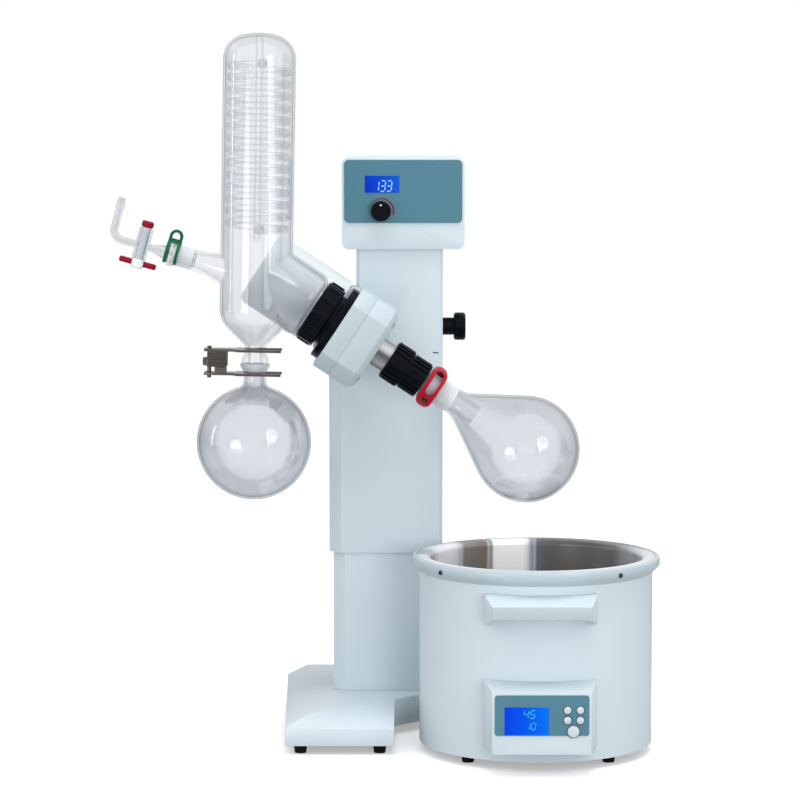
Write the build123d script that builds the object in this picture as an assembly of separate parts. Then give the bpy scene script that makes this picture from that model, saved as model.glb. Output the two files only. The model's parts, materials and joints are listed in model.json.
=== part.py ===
from build123d import *
import math
import os

# Laboratory rotary evaporator: a stand with a lift, a tilting drive head that carries the glassware,
# and a separate heating bath. Working frame in millimetres: X to the right, Y from the front edge of
# the base to the back, Z up from the bench. At the end everything moves so that the origin is the
# bottom centre of the whole object.

# Stand
foot_height = 11.0
foot_radius = 8.5
foot_taper = 1.5
base_left = -140.0
base_splay = 10.0
base_leg_width = 133.0
base_depth = 366.0
base_leg_depth = 122.0
base_flare = 90.0
base_height = 35.0
base_bevel_width = 26.0
base_bevel_height = 13.0
base_wall = 4.0
base_plate = 3.0
base_plate_gap = 0.3
foot_inset = 18.0

# Column, sleeve and neck
column_left = -85.0
column_width = 134.0
column_front = 180.0
column_depth = 120.0
column_top = 300.0
column_wall = 4.0
column_chamfer = 15.0
slide_gap = 5.0
pad_gap = 0.3
pad_height = 12.0
pad_drop = 20.0
sleeve_wall = 4.0
sleeve_bottom = 224.0
neck_step = 460.0
neck_top = 610.0
notch_width = 35.0
neck_chamfer = 4.0
lift_travel = 150.0
actuator_radius = 18.0
actuator_drop = 10.0
rod_radius = 9.0
rod_clearance = 0.1
bulkhead = 6.0

# Head box with the speed control
head_width = 154.0
head_left = -73.0
head_height = 115.0
head_proud = 8.0
head_depth = 146.0
head_wall = 3.0
head_panel_height = 85.0
head_panel_margin = 3.0
head_panel_thickness = 2.0
head_display = (43.0, 21.0)
display_inset = 26.0
display_drop = 20.0
knob_inset = 20.0
knob_rise = 15.0
head_corner = 9.0
panel_corner = 6.0
speed_knob_radius = 12.5
speed_knob_length = 16.0

# Tilt hinge
pivot_x = -33.0
pivot_z = 511.0
pivot_radius = 12.0
pivot_depth = 35.0
pivot_clearance = 0.05
bush_radius = 16.0
bush_length = 40.0
lock_knob_radius = 17.5
lock_knob_length = 15.0
lock_collar_radius = 11.0
lock_collar_length = 14.0
lock_stem_radius = 4.0
lock_inset = 24.0

# Drive axis: it slopes down to the right through the centre of the flange ring
drive_y = 49.0
flange_x = -79.0
flange_z = 525.0
drive_slope = 33.5
case_half = 55.0
case_chamfer = 21.0
case_start = 4.5
case_split = 26.0
case_end = 60.0
case_wall = 5.0
rear_case_start = -8.0
rear_case_half = 46.0
rear_case_gap = 3.0
motor_y = 146.0
motor_radius = 48.0
motor_length = 108.0
motor_wall = 2.5
motor_shaft_radius = 5.0
flange_ring_radius = 48.5
flange_ring_thickness = 9.3
collar_radius = 33.5
collar_length = 18.5
nut_radius = 39.0
nut_length = 23.0
nut_gap = 5.0
nut_clearance = 0.3
nut_lugs = 12
spindle_radius = 18.0
spindle_bore = 13.4
spindle_end = 126.0
running_clearance = 0.05
bearing_width = 9.0
bearing_radius = 26.0
belt_width = 12.0
belt_thickness = 3.0
driven_pulley_radius = 32.0
motor_pulley_radius = 16.0
pulley_teeth_depth = 1.5
driven_teeth = 40
motor_teeth = 20
ejector_start = 78.5
ejector_big = (25.0, 25.0)
ejector_small = (23.0, 25.5)
ejector_ribs = 20
duct_radius = 12.5
duct_wall = 2.0
duct_start = -22.0
duct_end = 205.0

# Glassware
glass_wall = 2.5
flask_radius = 65.5
flask_centre = 280.0
flask_mouth = 131.0
flask_neck = 172.0
flask_neck_radius = 16.5
flask_bead_radius = 19.0
flask_flare = 30.0
joint_s = -115.0
lean = 1.1
jacket_radius = 44.0
jacket_top = 288.4
jacket_dome = 30.0
jacket_cone_top = -47.0
jacket_neck_radius = 12.6
ball_centre = -110.0
ball_radius = 16.0
ball_bore = 8.5
branch_radius = 42.0
branch_shoulder = -45.0
branch_neck_radius = 29.5
branch_flange_radius = 33.2
coil_radius = 34.5
coil_tube = 4.5
coil_pitch = 14.6
coil_turns = 14
coil_bottom = 48.0
core_radius = 4.6
nozzle_radius = 5.0
nozzle_length = 36.0
arm_slope = 15.5
arm_joint = (-277.3, 609.3)
arm_length = 106.0
arm_radius = 12.5
arm_root_radius = 20.0
arm_rim_radius = 14.5
stopcock_at = 38.0
stopcock_radius = 8.5
stopcock_length = 44.0
barrel_short = 6.0
plug_radius = 5.5
plug_end_radius = 8.0
plug_end_length = 12.0
grip_drop = 5.5
grip_length = 46.0
grip_width = 7.0
cap_radius = 7.4
inlet_radius = 4.7
inlet_reach = 76.0
inlet_rise = 50.0
inlet_bend = 12.0
receiver_radius = 70.0
receiver_centre = -209.6
receiver_neck_radius = 13.5
cup_wall = 2.7
ball_gap = 0.1

# Clips of the flask and of the side arm
clip_width = 19.0
clip_radius = 27.0
clip_window = (32.0, 10.5)
clip_window_at = 7.0
clip_eye_at = -17.0
clip_eye_radius = 4.2
ear_clip_rim = 3.4
ear_clip_wall = 2.2
ear_clip_mouth = 11.5
ear_height = 13.0
ear_thickness = 5.0
ear_bar = 3.6

# Fork clamp of the receiver joint
fork_thickness = 3.0
fork_upper = -95.0
fork_lower = -127.0
fork_reach = 32.0
fork_tail = 62.0
fork_half = 21.0
fork_slot_upper = 13.0
fork_slot_lower = 14.0
fork_pin_at = -42.0
fork_screw_at = -56.0

# Heating bath
bath_gap = 31.0
bath_y = 49.0
bath_radius = 143.0
bath_height = 230.0
bath_wall = 3.0
rim_overhang = 9.0
rim_height = 13.0
pot_inset = 13.0
pot_ledge = 2.5
pot_sink = 2.0
pot_lip = 7.0
pot_depth = 140.0
pot_wall = 1.5
pot_corner = 14.0
rim_gap = 0.5
heater_inset = 26.0
heater_width = 20.0
heater_height = 10.0
probe_offset = 30.0
probe_radius = 6.0
bath_floor = 4.0
bath_foot_inset = 23.0
handle_width = 133.0
handle_taper = 8.0
handle_reach = 35.0
handle_top = 203.0
handle_height = 26.0
handle_wall = 4.0
box_width = 133.0
box_low = 28.0
box_height = 78.0
panel_margin = 3.0
panel_height = 48.0
panel_thickness = 2.0
bath_display = (52.0, 33.0)
button_radius = 4.5
power_radius = 7.0
button_stand = 2.5
button_travel = 1.0
button_clearance = 0.1
screw_radius = 3.2
screw_drop = 9.0
screw_stand = 1.6
screw_turns = (-141, -51, 39, 129)

# Shared directions
floor_z = foot_height
base_top = foot_height + base_height
bath_x = base_left + base_leg_width + bath_gap + bath_radius
rim_radius = bath_radius + rim_overhang
pot_radius = bath_radius - pot_inset
pot_flange_radius = bath_radius + pot_ledge
column_right = column_left + column_width
sleeve_left = column_left - slide_gap
sleeve_right = column_right + slide_gap
sleeve_front = column_front - slide_gap
sleeve_back = column_front + column_depth + slide_gap
neck_left = sleeve_left + notch_width
mid_x = (column_left + column_right) / 2
mid_y = column_front + column_depth / 2
drive_dir = Vector(1, 0, 0).rotate(Axis.Y, drive_slope)
drive_up = Vector(0, 0, 1).rotate(Axis.Y, drive_slope)
flange_centre = Vector(flange_x, drive_y, flange_z)
drive = Plane(origin=flange_centre, x_dir=drive_up, z_dir=drive_dir).location
joint_point = flange_centre + drive_dir * joint_s
glass = Location(joint_point) * Rot(0, lean, 0)
motor_offset = motor_y - drive_y

parts = {}


def tube(low, high, radius, bore=0.0):
    solid = Pos(0, 0, low) * Cylinder(radius, high - low, align=(Align.CENTER, Align.CENTER, Align.MIN))
    if bore:
        solid -= Pos(0, 0, low) * Cylinder(bore, high - low, align=(Align.CENTER, Align.CENTER, Align.MIN))
    return solid


def block(x0, x1, y0, y1, z0, z1):
    return Pos(x0, y0, z0) * Box(x1 - x0, y1 - y0, z1 - z0, align=(Align.MIN, Align.MIN, Align.MIN))


def turned(*lines):
    """Solid of revolution about Z of a closed outline of (radius, height) lines."""
    return revolve(Plane.XZ * make_face(Curve() + list(lines)), Axis.Z)


def turned_points(*points):
    return turned(Polyline(*points, close=True))


def arc(centre, radius, start, end):
    middle = (start + end) / 2
    spots = [
        (centre[0] + radius * math.cos(math.radians(a)), centre[1] + radius * math.sin(math.radians(a)))
        for a in (start, middle, end)
    ]
    return ThreePointArc(*spots)


def ring_of(count, radius, start=0.0):
    return [Rot(0, 0, start + 360 * i / count) * Pos(radius, 0, 0) for i in range(count)]


def flask_form(mouth, neck, neck_radius, flare, centre, radius):
    """Round flask on its axis, mouth at the low end: neck, hollow flare, tangent cone and ball."""
    hub = (neck_radius + flare, neck)
    reach = math.hypot(hub[0], hub[1] - centre)
    turn = math.degrees(math.atan2(hub[1] - centre, hub[0])) + math.degrees(math.acos((radius + flare) / reach))
    flare_end = (
        hub[0] - flare * math.cos(math.radians(turn)),
        hub[1] - flare * math.sin(math.radians(turn)),
    )
    ball_start = (radius * math.cos(math.radians(turn)), centre + radius * math.sin(math.radians(turn)))
    return turned(
        Line((0, mouth), (neck_radius, mouth)),
        Line((neck_radius, mouth), (neck_radius, neck)),
        arc(hub, flare, 180, 180 + turn),
        Line(flare_end, ball_start),
        arc((0, centre), radius, turn, 90),
        Line((0, centre + radius), (0, mouth)),
    )


# Base with its feet and bottom plate
base_right = base_left + base_leg_width
outline = [
    (base_left, 0),
    (base_right, 0),
    (base_right, base_leg_depth),
    (base_right + base_flare, base_leg_depth + base_flare),
    (base_right + base_flare, base_depth),
    (base_left - base_splay, base_depth),
]
base_face = make_face(Polyline(*outline, close=True))
shell = Pos(0, 0, floor_z) * extrude(base_face, base_height)
top_edges = shell.edges().group_by(Axis.Z)[-1]
bevel_edges = [top_edges.sort_by(Axis.Y)[0], top_edges.sort_by(Axis.X)[0]]
shell = chamfer(bevel_edges, base_bevel_height, base_bevel_width)
inner_face = offset(base_face, -base_wall - base_bevel_width)
shell -= Pos(0, 0, floor_z) * extrude(inner_face, base_height - base_wall)
plate_face = offset(base_face, -base_wall)
shell -= Pos(0, 0, floor_z) * extrude(plate_face, base_plate)
parts["base_shell"] = shell
parts["base_bottom_plate"] = Pos(0, 0, floor_z) * extrude(offset(plate_face, -base_plate_gap), base_plate)
foot_spots = [
    (base_left + foot_inset, foot_inset),
    (base_right - foot_inset, foot_inset),
    (base_left + foot_inset, base_depth - foot_inset),
    (base_right + base_flare - foot_inset, base_depth - foot_inset),
]
foot = turned_points((0, 0), (foot_radius - foot_taper, 0), (foot_radius, foot_height), (0, foot_height))
parts["base_feet"] = Compound([Pos(x, y, 0) * foot for x, y in foot_spots])


def column_profile(left, right, front, back, cut):
    return make_face(
        Polyline(
            (left + cut, front),
            (right - cut, front),
            (right, front + cut),
            (right, back),
            (left, back),
            (left, front + cut),
            close=True,
        )
    )


# Fixed column and the lift actuator inside it
column_back = column_front + column_depth
outer = column_profile(column_left, column_right, column_front, column_back, column_chamfer)
column = extrude(outer, column_top - base_top) - extrude(offset(outer, -column_wall), column_top - base_top)
parts["inner_column"] = Pos(0, 0, base_top) * column
actuator_bore = rod_radius + rod_clearance
parts["lift_actuator_tube"] = Pos(mid_x, mid_y, 0) * tube(
    base_top, column_top - actuator_drop, actuator_radius, actuator_bore
)
rod_bottom = base_top + lift_travel + 5
parts["lift_actuator_rod"] = Pos(mid_x, mid_y, 0) * tube(rod_bottom, neck_step - bulkhead, rod_radius)

# Sleeve: a chamfered box below, the notched neck above, closed by a step plate and a bulkhead
sleeve_outer = column_profile(sleeve_left, sleeve_right, sleeve_front, sleeve_back, column_chamfer)
neck_outer = column_profile(neck_left, sleeve_right, sleeve_front, sleeve_back, neck_chamfer)
sleeve = Pos(0, 0, sleeve_bottom) * extrude(sleeve_outer, neck_step - sleeve_bottom)
sleeve += Pos(0, 0, sleeve_bottom) * extrude(neck_outer, neck_top - sleeve_bottom)
lower_bore = offset(sleeve_outer, -sleeve_wall)
upper_bore = offset(neck_outer, -sleeve_wall)
sleeve -= Pos(0, 0, sleeve_bottom) * extrude(lower_bore, neck_step - bulkhead - sleeve_bottom)
sleeve -= Pos(0, 0, neck_step) * extrude(upper_bore, neck_top - neck_step)
bush_bore = Pos(pivot_x, sleeve_front, pivot_z) * Rot(-90, 0, 0)
stem_axis = Pos(sleeve_right, sleeve_front + lock_inset, pivot_z) * Rot(0, 90, 0)
sleeve -= bush_bore * tube(-1, sleeve_wall + 1, bush_radius)
sleeve -= stem_axis * tube(-sleeve_wall - 2, 1, lock_stem_radius + 0.1)
parts["sleeve"] = sleeve
pad_faces = offset(outer, pad_gap)
pad_ring = extrude(offset(sleeve_outer, -sleeve_wall), pad_height) - extrude(pad_faces, pad_height)
parts["guide_pads"] = Compound(
    [Pos(0, 0, z) * pad_ring for z in (sleeve_bottom + 2, column_top - pad_drop)]
)
bush = tube(0, bush_length, bush_radius, pivot_radius + pivot_clearance)
bush -= Pos(0, 0, lock_inset) * Rot(0, 90, 0) * tube(0, bush_radius + 1, lock_stem_radius + 0.1)
parts["tilt_bush"] = bush_bore * bush
stem_length = sleeve_right - pivot_x - pivot_radius - 0.6
knob = tube(-stem_length, lock_collar_length, lock_stem_radius)
knob += tube(0.3, lock_collar_length, lock_collar_radius)
head = tube(lock_collar_length, lock_collar_length + lock_knob_length, lock_knob_radius)
knob += fillet(head.edges().filter_by(GeomType.CIRCLE), 3.5)
parts["tilt_lock_knob"] = stem_axis * knob

# Head box, its panel, display and speed knob
head_front = sleeve_front - head_proud
head_face = Pos(head_left, 0, neck_top) * Box(
    head_width, head_depth, head_height, align=(Align.MIN, Align.MIN, Align.MIN)
)
head_face = fillet(head_face.edges().filter_by(Axis.Y), head_corner)
head_box = Pos(0, head_front, 0) * head_face
cavity = block(
    head_left + head_wall, head_left + head_width - head_wall,
    head_front + head_wall + 3, head_front + head_depth - head_wall,
    neck_top + head_wall, neck_top + head_height - head_wall,
)
head_box -= cavity
panel_left = head_left + head_panel_margin
panel_right = head_left + head_width - head_panel_margin
panel_high = neck_top + head_height - head_panel_margin
panel_low = panel_high - head_panel_height + 2 * head_panel_margin
panel = block(
    panel_left, panel_right, head_front - head_panel_thickness, head_front, panel_low, panel_high
)
panel = fillet(panel.edges().filter_by(Axis.Y), panel_corner)
display_x = panel_left + display_inset
display_z = panel_high - display_drop - head_display[1]
display = block(
    display_x, display_x + head_display[0], head_front - head_panel_thickness - 0.6, head_front,
    display_z, display_z + head_display[1],
)
knob_x = display_x + knob_inset
knob_z = panel_low + knob_rise
knob_axis = Pos(knob_x, head_front - head_panel_thickness, knob_z) * Rot(90, 0, 0)
shaft_radius = 3.0
shaft_hole = knob_axis * tube(-12, 1, shaft_radius + running_clearance)
parts["head_box"] = head_box - shaft_hole
parts["head_panel"] = panel - display - shaft_hole
parts["speed_display"] = display
speed_knob = tube(0.4, speed_knob_length, speed_knob_radius)
speed_knob = chamfer(speed_knob.edges().filter_by(GeomType.CIRCLE).sort_by(Axis.Z)[-1], 1.5)
speed_knob += tube(-9, 0.4, shaft_radius)
parts["speed_knob"] = knob_axis * speed_knob

# Heating bath: painted shell, rolled rim, stainless pot with its heater, floor and feet
bath = Pos(bath_x, bath_y, 0)
shell_top = bath_height - 2
rim_top = shell_top + rim_height
pot_seat = rim_top - pot_sink
pot_floor = pot_seat + pot_wall - pot_depth
bath_shell = bath * tube(floor_z, shell_top, bath_radius, bath_radius - bath_wall)
rim_bore = pot_flange_radius + rim_gap
rim = turned_points(
    (bath_radius, shell_top - 6),
    (rim_radius - 1, shell_top + 1.5),
    (rim_radius, shell_top + 3.5),
    (rim_radius, rim_top - 4),
    (rim_radius - 1.2, rim_top - 1.2),
    (rim_radius - 4, rim_top),
    (rim_bore, rim_top),
    (rim_bore, pot_seat),
    (bath_radius - bath_wall, pot_seat),
    (bath_radius - bath_wall, shell_top),
    (bath_radius, shell_top),
)
parts["bath_rim"] = bath * rim
screw_axis = Pos(rim_radius, 0, rim_top - screw_drop) * Rot(0, 90, 0)
screw_head = screw_axis * tube(0, screw_stand, screw_radius)
parts["rim_screws"] = bath * Compound([Rot(0, 0, a) * screw_head for a in screw_turns])
lip_top = pot_seat + pot_wall
pot = turned(
    Polyline(
        (pot_radius, lip_top - pot_lip),
        (pot_radius, pot_floor + pot_corner),
        (pot_radius - pot_corner, pot_floor),
        (0, pot_floor),
        (0, pot_floor - pot_wall),
        (pot_radius - pot_corner, pot_floor - pot_wall),
        (pot_radius + pot_wall, pot_floor + pot_corner),
        (pot_radius + pot_wall, lip_top - pot_lip),
    ),
    arc((pot_radius + pot_lip, lip_top - pot_lip), pot_lip - pot_wall, 180, 90),
    Polyline(
        (pot_radius + pot_lip, pot_seat), (pot_flange_radius, pot_seat), (pot_flange_radius, lip_top),
        (pot_radius + pot_lip, lip_top),
    ),
    arc((pot_radius + pot_lip, lip_top - pot_lip), pot_lip, 90, 180),
)
parts["bath_pot"] = bath * pot
under_pot = pot_floor - pot_wall
heater_radius = pot_radius - heater_inset
heater_bore = heater_radius - heater_width
parts["bath_heater"] = bath * tube(under_pot - heater_height, under_pot, heater_radius, heater_bore)
parts["bath_temperature_probe"] = bath * Pos(probe_offset, 0, 0) * tube(
    under_pot - heater_height - 2, under_pot, probe_radius
)
parts["bath_floor"] = bath * tube(floor_z, floor_z + bath_floor, bath_radius - bath_wall)
foot_circle = bath_radius - bath_foot_inset
parts["bath_feet"] = bath * Compound([spot * foot for spot in ring_of(4, foot_circle, 45)])

# Handle hood and control box: both have a tapered plan and stand on the front of the shell
bath_front = bath_y - bath_radius
face_y = bath_front - handle_reach
drum = bath * tube(0, rim_top, bath_radius)


def hood_plan(width, wall):
    back, front = width / 2 - wall, width / 2 - handle_taper - wall
    return make_face(
        Polyline(
            (bath_x - back, bath_y - bath_radius * 0.85),
            (bath_x - back, bath_front),
            (bath_x - front, face_y + wall),
            (bath_x + front, face_y + wall),
            (bath_x + back, bath_front),
            (bath_x + back, bath_y - bath_radius * 0.85),
            close=True,
        )
    )


def side_trim(*corners):
    side = make_face(Polyline(*corners, close=True))
    return Pos(bath_x - 100, 0, 0) * extrude(Plane.YZ * side, 200)


handle_low = handle_top - handle_height
deep = bath_y - bath_radius * 0.8
handle_trim = side_trim(
    (deep, handle_low), (bath_front, handle_low), (face_y, handle_low + 11),
    (face_y, handle_top), (bath_front, handle_top + 9), (deep, handle_top + 9),
)
handle = Pos(0, 0, handle_low) * extrude(hood_plan(handle_width, 0), handle_height + 9)
handle = handle & handle_trim
hollow = Pos(0, 0, handle_low - 1) * extrude(hood_plan(handle_width, handle_wall), handle_height - 3)
parts["bath_handle"] = handle - hollow - drum
box_trim = side_trim(
    (deep, box_low), (face_y, box_low), (face_y, box_low + box_height - 4),
    (bath_front, box_low + box_height + 3), (deep, box_low + box_height + 3),
)
box = Pos(0, 0, box_low) * extrude(hood_plan(box_width, 0), box_height + 5)
box = box & box_trim
box -= Pos(0, 0, box_low + handle_wall) * extrude(hood_plan(box_width, handle_wall), box_height - 12)
panel_top = box_low + box_height - 4 - panel_margin
panel_half = box_width / 2 - handle_taper - panel_margin
panel_bottom = panel_top - panel_height
panel_y = face_y - panel_thickness
bath_panel = block(bath_x - panel_half, bath_x + panel_half, panel_y, face_y, panel_bottom, panel_top)
bath_panel = fillet(bath_panel.edges().filter_by(Axis.Y), 3)
lcd_left = bath_x - 44
lcd = block(
    lcd_left, lcd_left + bath_display[0], panel_y - 0.6, face_y,
    panel_bottom + 1, panel_bottom + 1 + bath_display[1],
)
button_places = {
    "button_up": (30, 30.5), "button_down": (45, 30.5), "button_set": (30, 18.5), "button_mode": (45, 18.5)
}
bath_panel -= lcd
for name, place in list(button_places.items()) + [("power_button", (37, 5))]:
    radius = power_radius if name == "power_button" else button_radius
    axis = Pos(bath_x + place[0], panel_y, panel_bottom + place[1]) * Rot(90, 0, 0)
    cap = tube(-panel_thickness, button_stand, radius)
    cap = fillet(cap.edges().filter_by(GeomType.CIRCLE).sort_by(Axis.Z)[-1], 1)
    cap += tube(-panel_thickness - handle_wall, -panel_thickness, radius - 2)
    parts[name] = axis * cap
    well = axis * tube(-panel_thickness - handle_wall - 1, 1, radius + button_clearance)
    bath_panel -= well
    box -= well
parts["bath_panel"] = bath_panel
parts["bath_display"] = lcd
parts["bath_control_box"] = box - drum
parts["bath_shell"] = bath_shell


# Gearbox: two chamfered halves on the drive axis and a rear case that reaches back to the motor
def case_block(low, high, half, cut):
    square = Box(2 * half, 2 * half, high - low, align=(Align.CENTER, Align.CENTER, Align.MIN))
    return Pos(0, 0, low) * chamfer(square.edges().filter_by(Axis.Z), cut)


rear_front = -case_half
rear_back = -(sleeve_front - rear_case_gap - drive_y)
belt_room_low = case_start + case_wall
belt_room = Pos(0, 0, belt_room_low) * Box(
    2 * (rear_case_half - 2 * case_wall), -rear_back - case_wall, case_split - belt_room_low - 2,
    align=(Align.CENTER, Align.MAX, Align.MIN),
)
left_case = case_block(case_start, case_split, case_half, case_chamfer)
left_case -= case_block(belt_room_low, case_split, case_half - case_wall, case_chamfer - case_wall / 2)
left_case -= belt_room
left_case -= tube(case_start - 1, belt_room_low + 1, spindle_radius + nut_clearance)
right_case = case_block(case_split, case_end, case_half, case_chamfer)
end_edges = right_case.faces().sort_by(Axis.Z)[-1].edges()
right_case = chamfer(end_edges, 7)
bearing_lows = [case_split + 4, case_end - 3 - bearing_width]
right_case -= tube(case_split - 1, case_end + 1, spindle_radius + nut_clearance)
right_case -= tube(bearing_lows[0], bearing_lows[1] + bearing_width, bearing_radius)
right_case -= tube(case_split - 1, bearing_lows[0] + 1, bearing_radius)
rear_box = block(-rear_case_half, rear_case_half, rear_back, rear_front, rear_case_start, case_end)
far_edges = rear_box.edges().filter_by(Axis.Y).group_by(Axis.Z)[-1]
rear_case = fillet(far_edges, 30)
near_edges = rear_case.edges().filter_by(Axis.Y).group_by(Axis.Z)[0]
rear_case = fillet(near_edges, 8)
rear_case -= belt_room
rear_case -= Pos(0, -motor_offset, 0) * tube(rear_case_start - 1, belt_room_low + 1, motor_shaft_radius + 5)
pivot_world = Pos(pivot_x, 0, pivot_z) * Rot(-90, 0, 0)
pivot_start = sleeve_front - rear_case_gap - pivot_depth
pivot_end = sleeve_front + bush_length - 2
pivot_hole = pivot_world * tube(pivot_start, sleeve_front, pivot_radius + 0.02)
parts["gearbox_case_left"] = drive * left_case
parts["gearbox_case_right"] = drive * right_case
parts["gearbox_rear_case"] = drive * rear_case - pivot_hole
parts["pivot_shaft"] = pivot_world * tube(pivot_start, pivot_end, pivot_radius)
parts["spindle_bearings"] = drive * Compound(
    [tube(low, low + bearing_width, bearing_radius - 0.02, spindle_radius + running_clearance) for low in bearing_lows]
)

# Motor with its cover, belt and pulleys
motor_place = drive * Pos(0, -motor_offset, 0)
cover_end = rear_case_start - motor_length
cover = tube(cover_end, rear_case_start, motor_radius)
cover = fillet(cover.edges().filter_by(GeomType.CIRCLE).sort_by(Axis.Z)[0], 10)
cover_room = tube(cover_end + motor_wall, rear_case_start + 1, motor_radius - motor_wall)
cover -= fillet(cover_room.edges().filter_by(GeomType.CIRCLE).sort_by(Axis.Z)[0], 10 - motor_wall)
parts["motor_cover"] = motor_place * cover
parts["motor"] = motor_place * tube(
    cover_end + 20, rear_case_start, motor_radius - motor_wall - 1, motor_shaft_radius + running_clearance
)
belt_low = belt_room_low + 1
belt_high = belt_low + belt_width


def toothed_pulley(radius, bore, teeth):
    pulley = tube(belt_low, belt_high, radius - pulley_teeth_depth, bore)
    tooth_width = math.pi * radius / teeth
    tooth = Pos(-pulley_teeth_depth / 2, 0, belt_low) * Box(
        2 * pulley_teeth_depth, tooth_width, belt_width, align=(Align.CENTER, Align.CENTER, Align.MIN)
    )
    for spot in ring_of(teeth, radius - pulley_teeth_depth / 2):
        pulley += spot * tooth
    return pulley


def belt_loop(extra):
    big, small = driven_pulley_radius + extra, motor_pulley_radius + extra
    lean_angle = math.asin((big - small) / motor_offset)
    c, s = math.cos(lean_angle), math.sin(lean_angle)
    straight = make_face(
        Polyline(
            (big * c, -big * s), (small * c, -motor_offset - small * s),
            (-small * c, -motor_offset - small * s), (-big * c, -big * s), close=True,
        )
    )
    loop = extrude(straight, belt_width) + tube(0, belt_width, big)
    loop += Pos(0, -motor_offset, 0) * tube(0, belt_width, small)
    return Pos(0, 0, belt_low) * loop


belt_gap = 0.5
parts["drive_belt"] = drive * (belt_loop(belt_gap + belt_thickness) - belt_loop(belt_gap))
parts["driven_pulley"] = drive * toothed_pulley(driven_pulley_radius, spindle_radius, driven_teeth)
parts["motor_pulley"] = motor_place * toothed_pulley(motor_pulley_radius, motor_shaft_radius, motor_teeth)
parts["motor_shaft"] = motor_place * tube(cover_end + 25, belt_high, motor_shaft_radius)

# Spindle line: flange ring and nut, vacuum seal, spindle tube, vapour duct, ejector nut
ring_low = case_start - flange_ring_thickness
seal_radius = 24.0
ring = tube(ring_low, case_start, flange_ring_radius)
ring = chamfer(ring.edges().filter_by(GeomType.CIRCLE), 1.2)
ring += tube(ring_low - collar_length, ring_low, collar_radius)
ring -= tube(ring_low - collar_length - 1, case_start + 1, seal_radius)
parts["flange_ring"] = drive * ring
seal_low = ring_low - collar_length + 4
parts["vacuum_seal"] = drive * tube(seal_low, case_start, seal_radius, duct_radius + running_clearance)
nut_high = ring_low - nut_gap
nut_low = nut_high - nut_length
nut = tube(nut_low, nut_high, nut_radius)
nut = chamfer(nut.edges().filter_by(GeomType.CIRCLE), 1.5)
lug = tube(nut_low + 3, nut_high - 3, 6)
for spot in ring_of(nut_lugs, nut_radius - 4):
    nut += spot * lug
nut -= tube(nut_low + 4, nut_high + 1, collar_radius + nut_clearance)
nut -= tube(nut_low - 1, nut_low + 5, branch_neck_radius + nut_clearance + 0.2)
parts["flange_nut"] = drive * nut
parts["spindle"] = drive * tube(case_start + 0.5, spindle_end, spindle_radius, spindle_bore)
duct = turned_points(
    (duct_radius - duct_wall, duct_start), (duct_radius, duct_start), (duct_radius, flask_mouth - 4),
    (flask_neck_radius - glass_wall - 0.05, flask_mouth), (flask_neck_radius - glass_wall - 0.05, flask_mouth + 32),
    (duct_radius, flask_mouth + 36), (duct_radius, duct_end), (duct_radius - duct_wall, duct_end),
)
parts["vapour_duct"] = drive * duct
ejector_split = ejector_start + ejector_big[1]
ejector_end = ejector_split + ejector_small[1]
rib_depth = 1.4
ejector = tube(ejector_start, ejector_split, ejector_big[0] - rib_depth)
ejector += tube(ejector_split, ejector_end, ejector_small[0] - rib_depth)
for low, high, radius in ((ejector_start, ejector_split, ejector_big[0]), (ejector_split, ejector_end, ejector_small[0])):
    rib = Pos(-2, 0, low + 1.5) * Box(4, 3.4, high - low - 3, align=(Align.CENTER, Align.CENTER, Align.MIN))
    for spot in ring_of(ejector_ribs, radius):
        ejector += spot * rib
ejector -= tube(ejector_start - 1, spindle_end + 0.3, spindle_radius + running_clearance)
ejector -= tube(spindle_end, ejector_end + 1, flask_neck_radius + 1)
parts["ejector_nut"] = drive * ejector

# Evaporating flask with its bead and the oval clip that holds it to the vapour duct
flask = flask_form(flask_mouth, flask_neck, flask_neck_radius, flask_flare, flask_centre, flask_radius)
flask += tube(flask_mouth, flask_mouth + 5, flask_bead_radius)
flask -= flask_form(
    flask_mouth - 1, flask_neck, flask_neck_radius - glass_wall, flask_flare + glass_wall, flask_centre,
    flask_radius - glass_wall,
)
parts["evaporating_flask"] = drive * flask


def clip_form(low, high, low_lip, high_lip, shell_radius):
    """Open ring clip with two inner lips; its front shows an oval with a long window and an eye."""
    wall = 2.5
    ring = tube(low, high, shell_radius, shell_radius - wall)
    ring += tube(low, low + wall, shell_radius - wall / 2, low_lip)
    ring += tube(high - wall, high, shell_radius - wall / 2, high_lip)
    middle = (low + high) / 2
    reach = 2 * shell_radius
    oval = Pos(0, 0, middle) * Rot(90, 0, 0) * extrude(SlotOverall(reach, high - low), reach, both=True)
    ring = ring & oval
    ring -= Pos(0, -shell_radius * 1.25, middle) * Box(1.1 * reach, shell_radius, 2 * (high - low))
    facing = Pos(0, 0, middle) * Rot(90, 0, 0)
    slot = facing * Pos(clip_window_at, 0, 0) * extrude(SlotOverall(*clip_window), -reach)
    eye = facing * Pos(clip_eye_at, 0, -reach) * Cylinder(clip_eye_radius, 2 * reach)
    return ring - slot - eye


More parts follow.
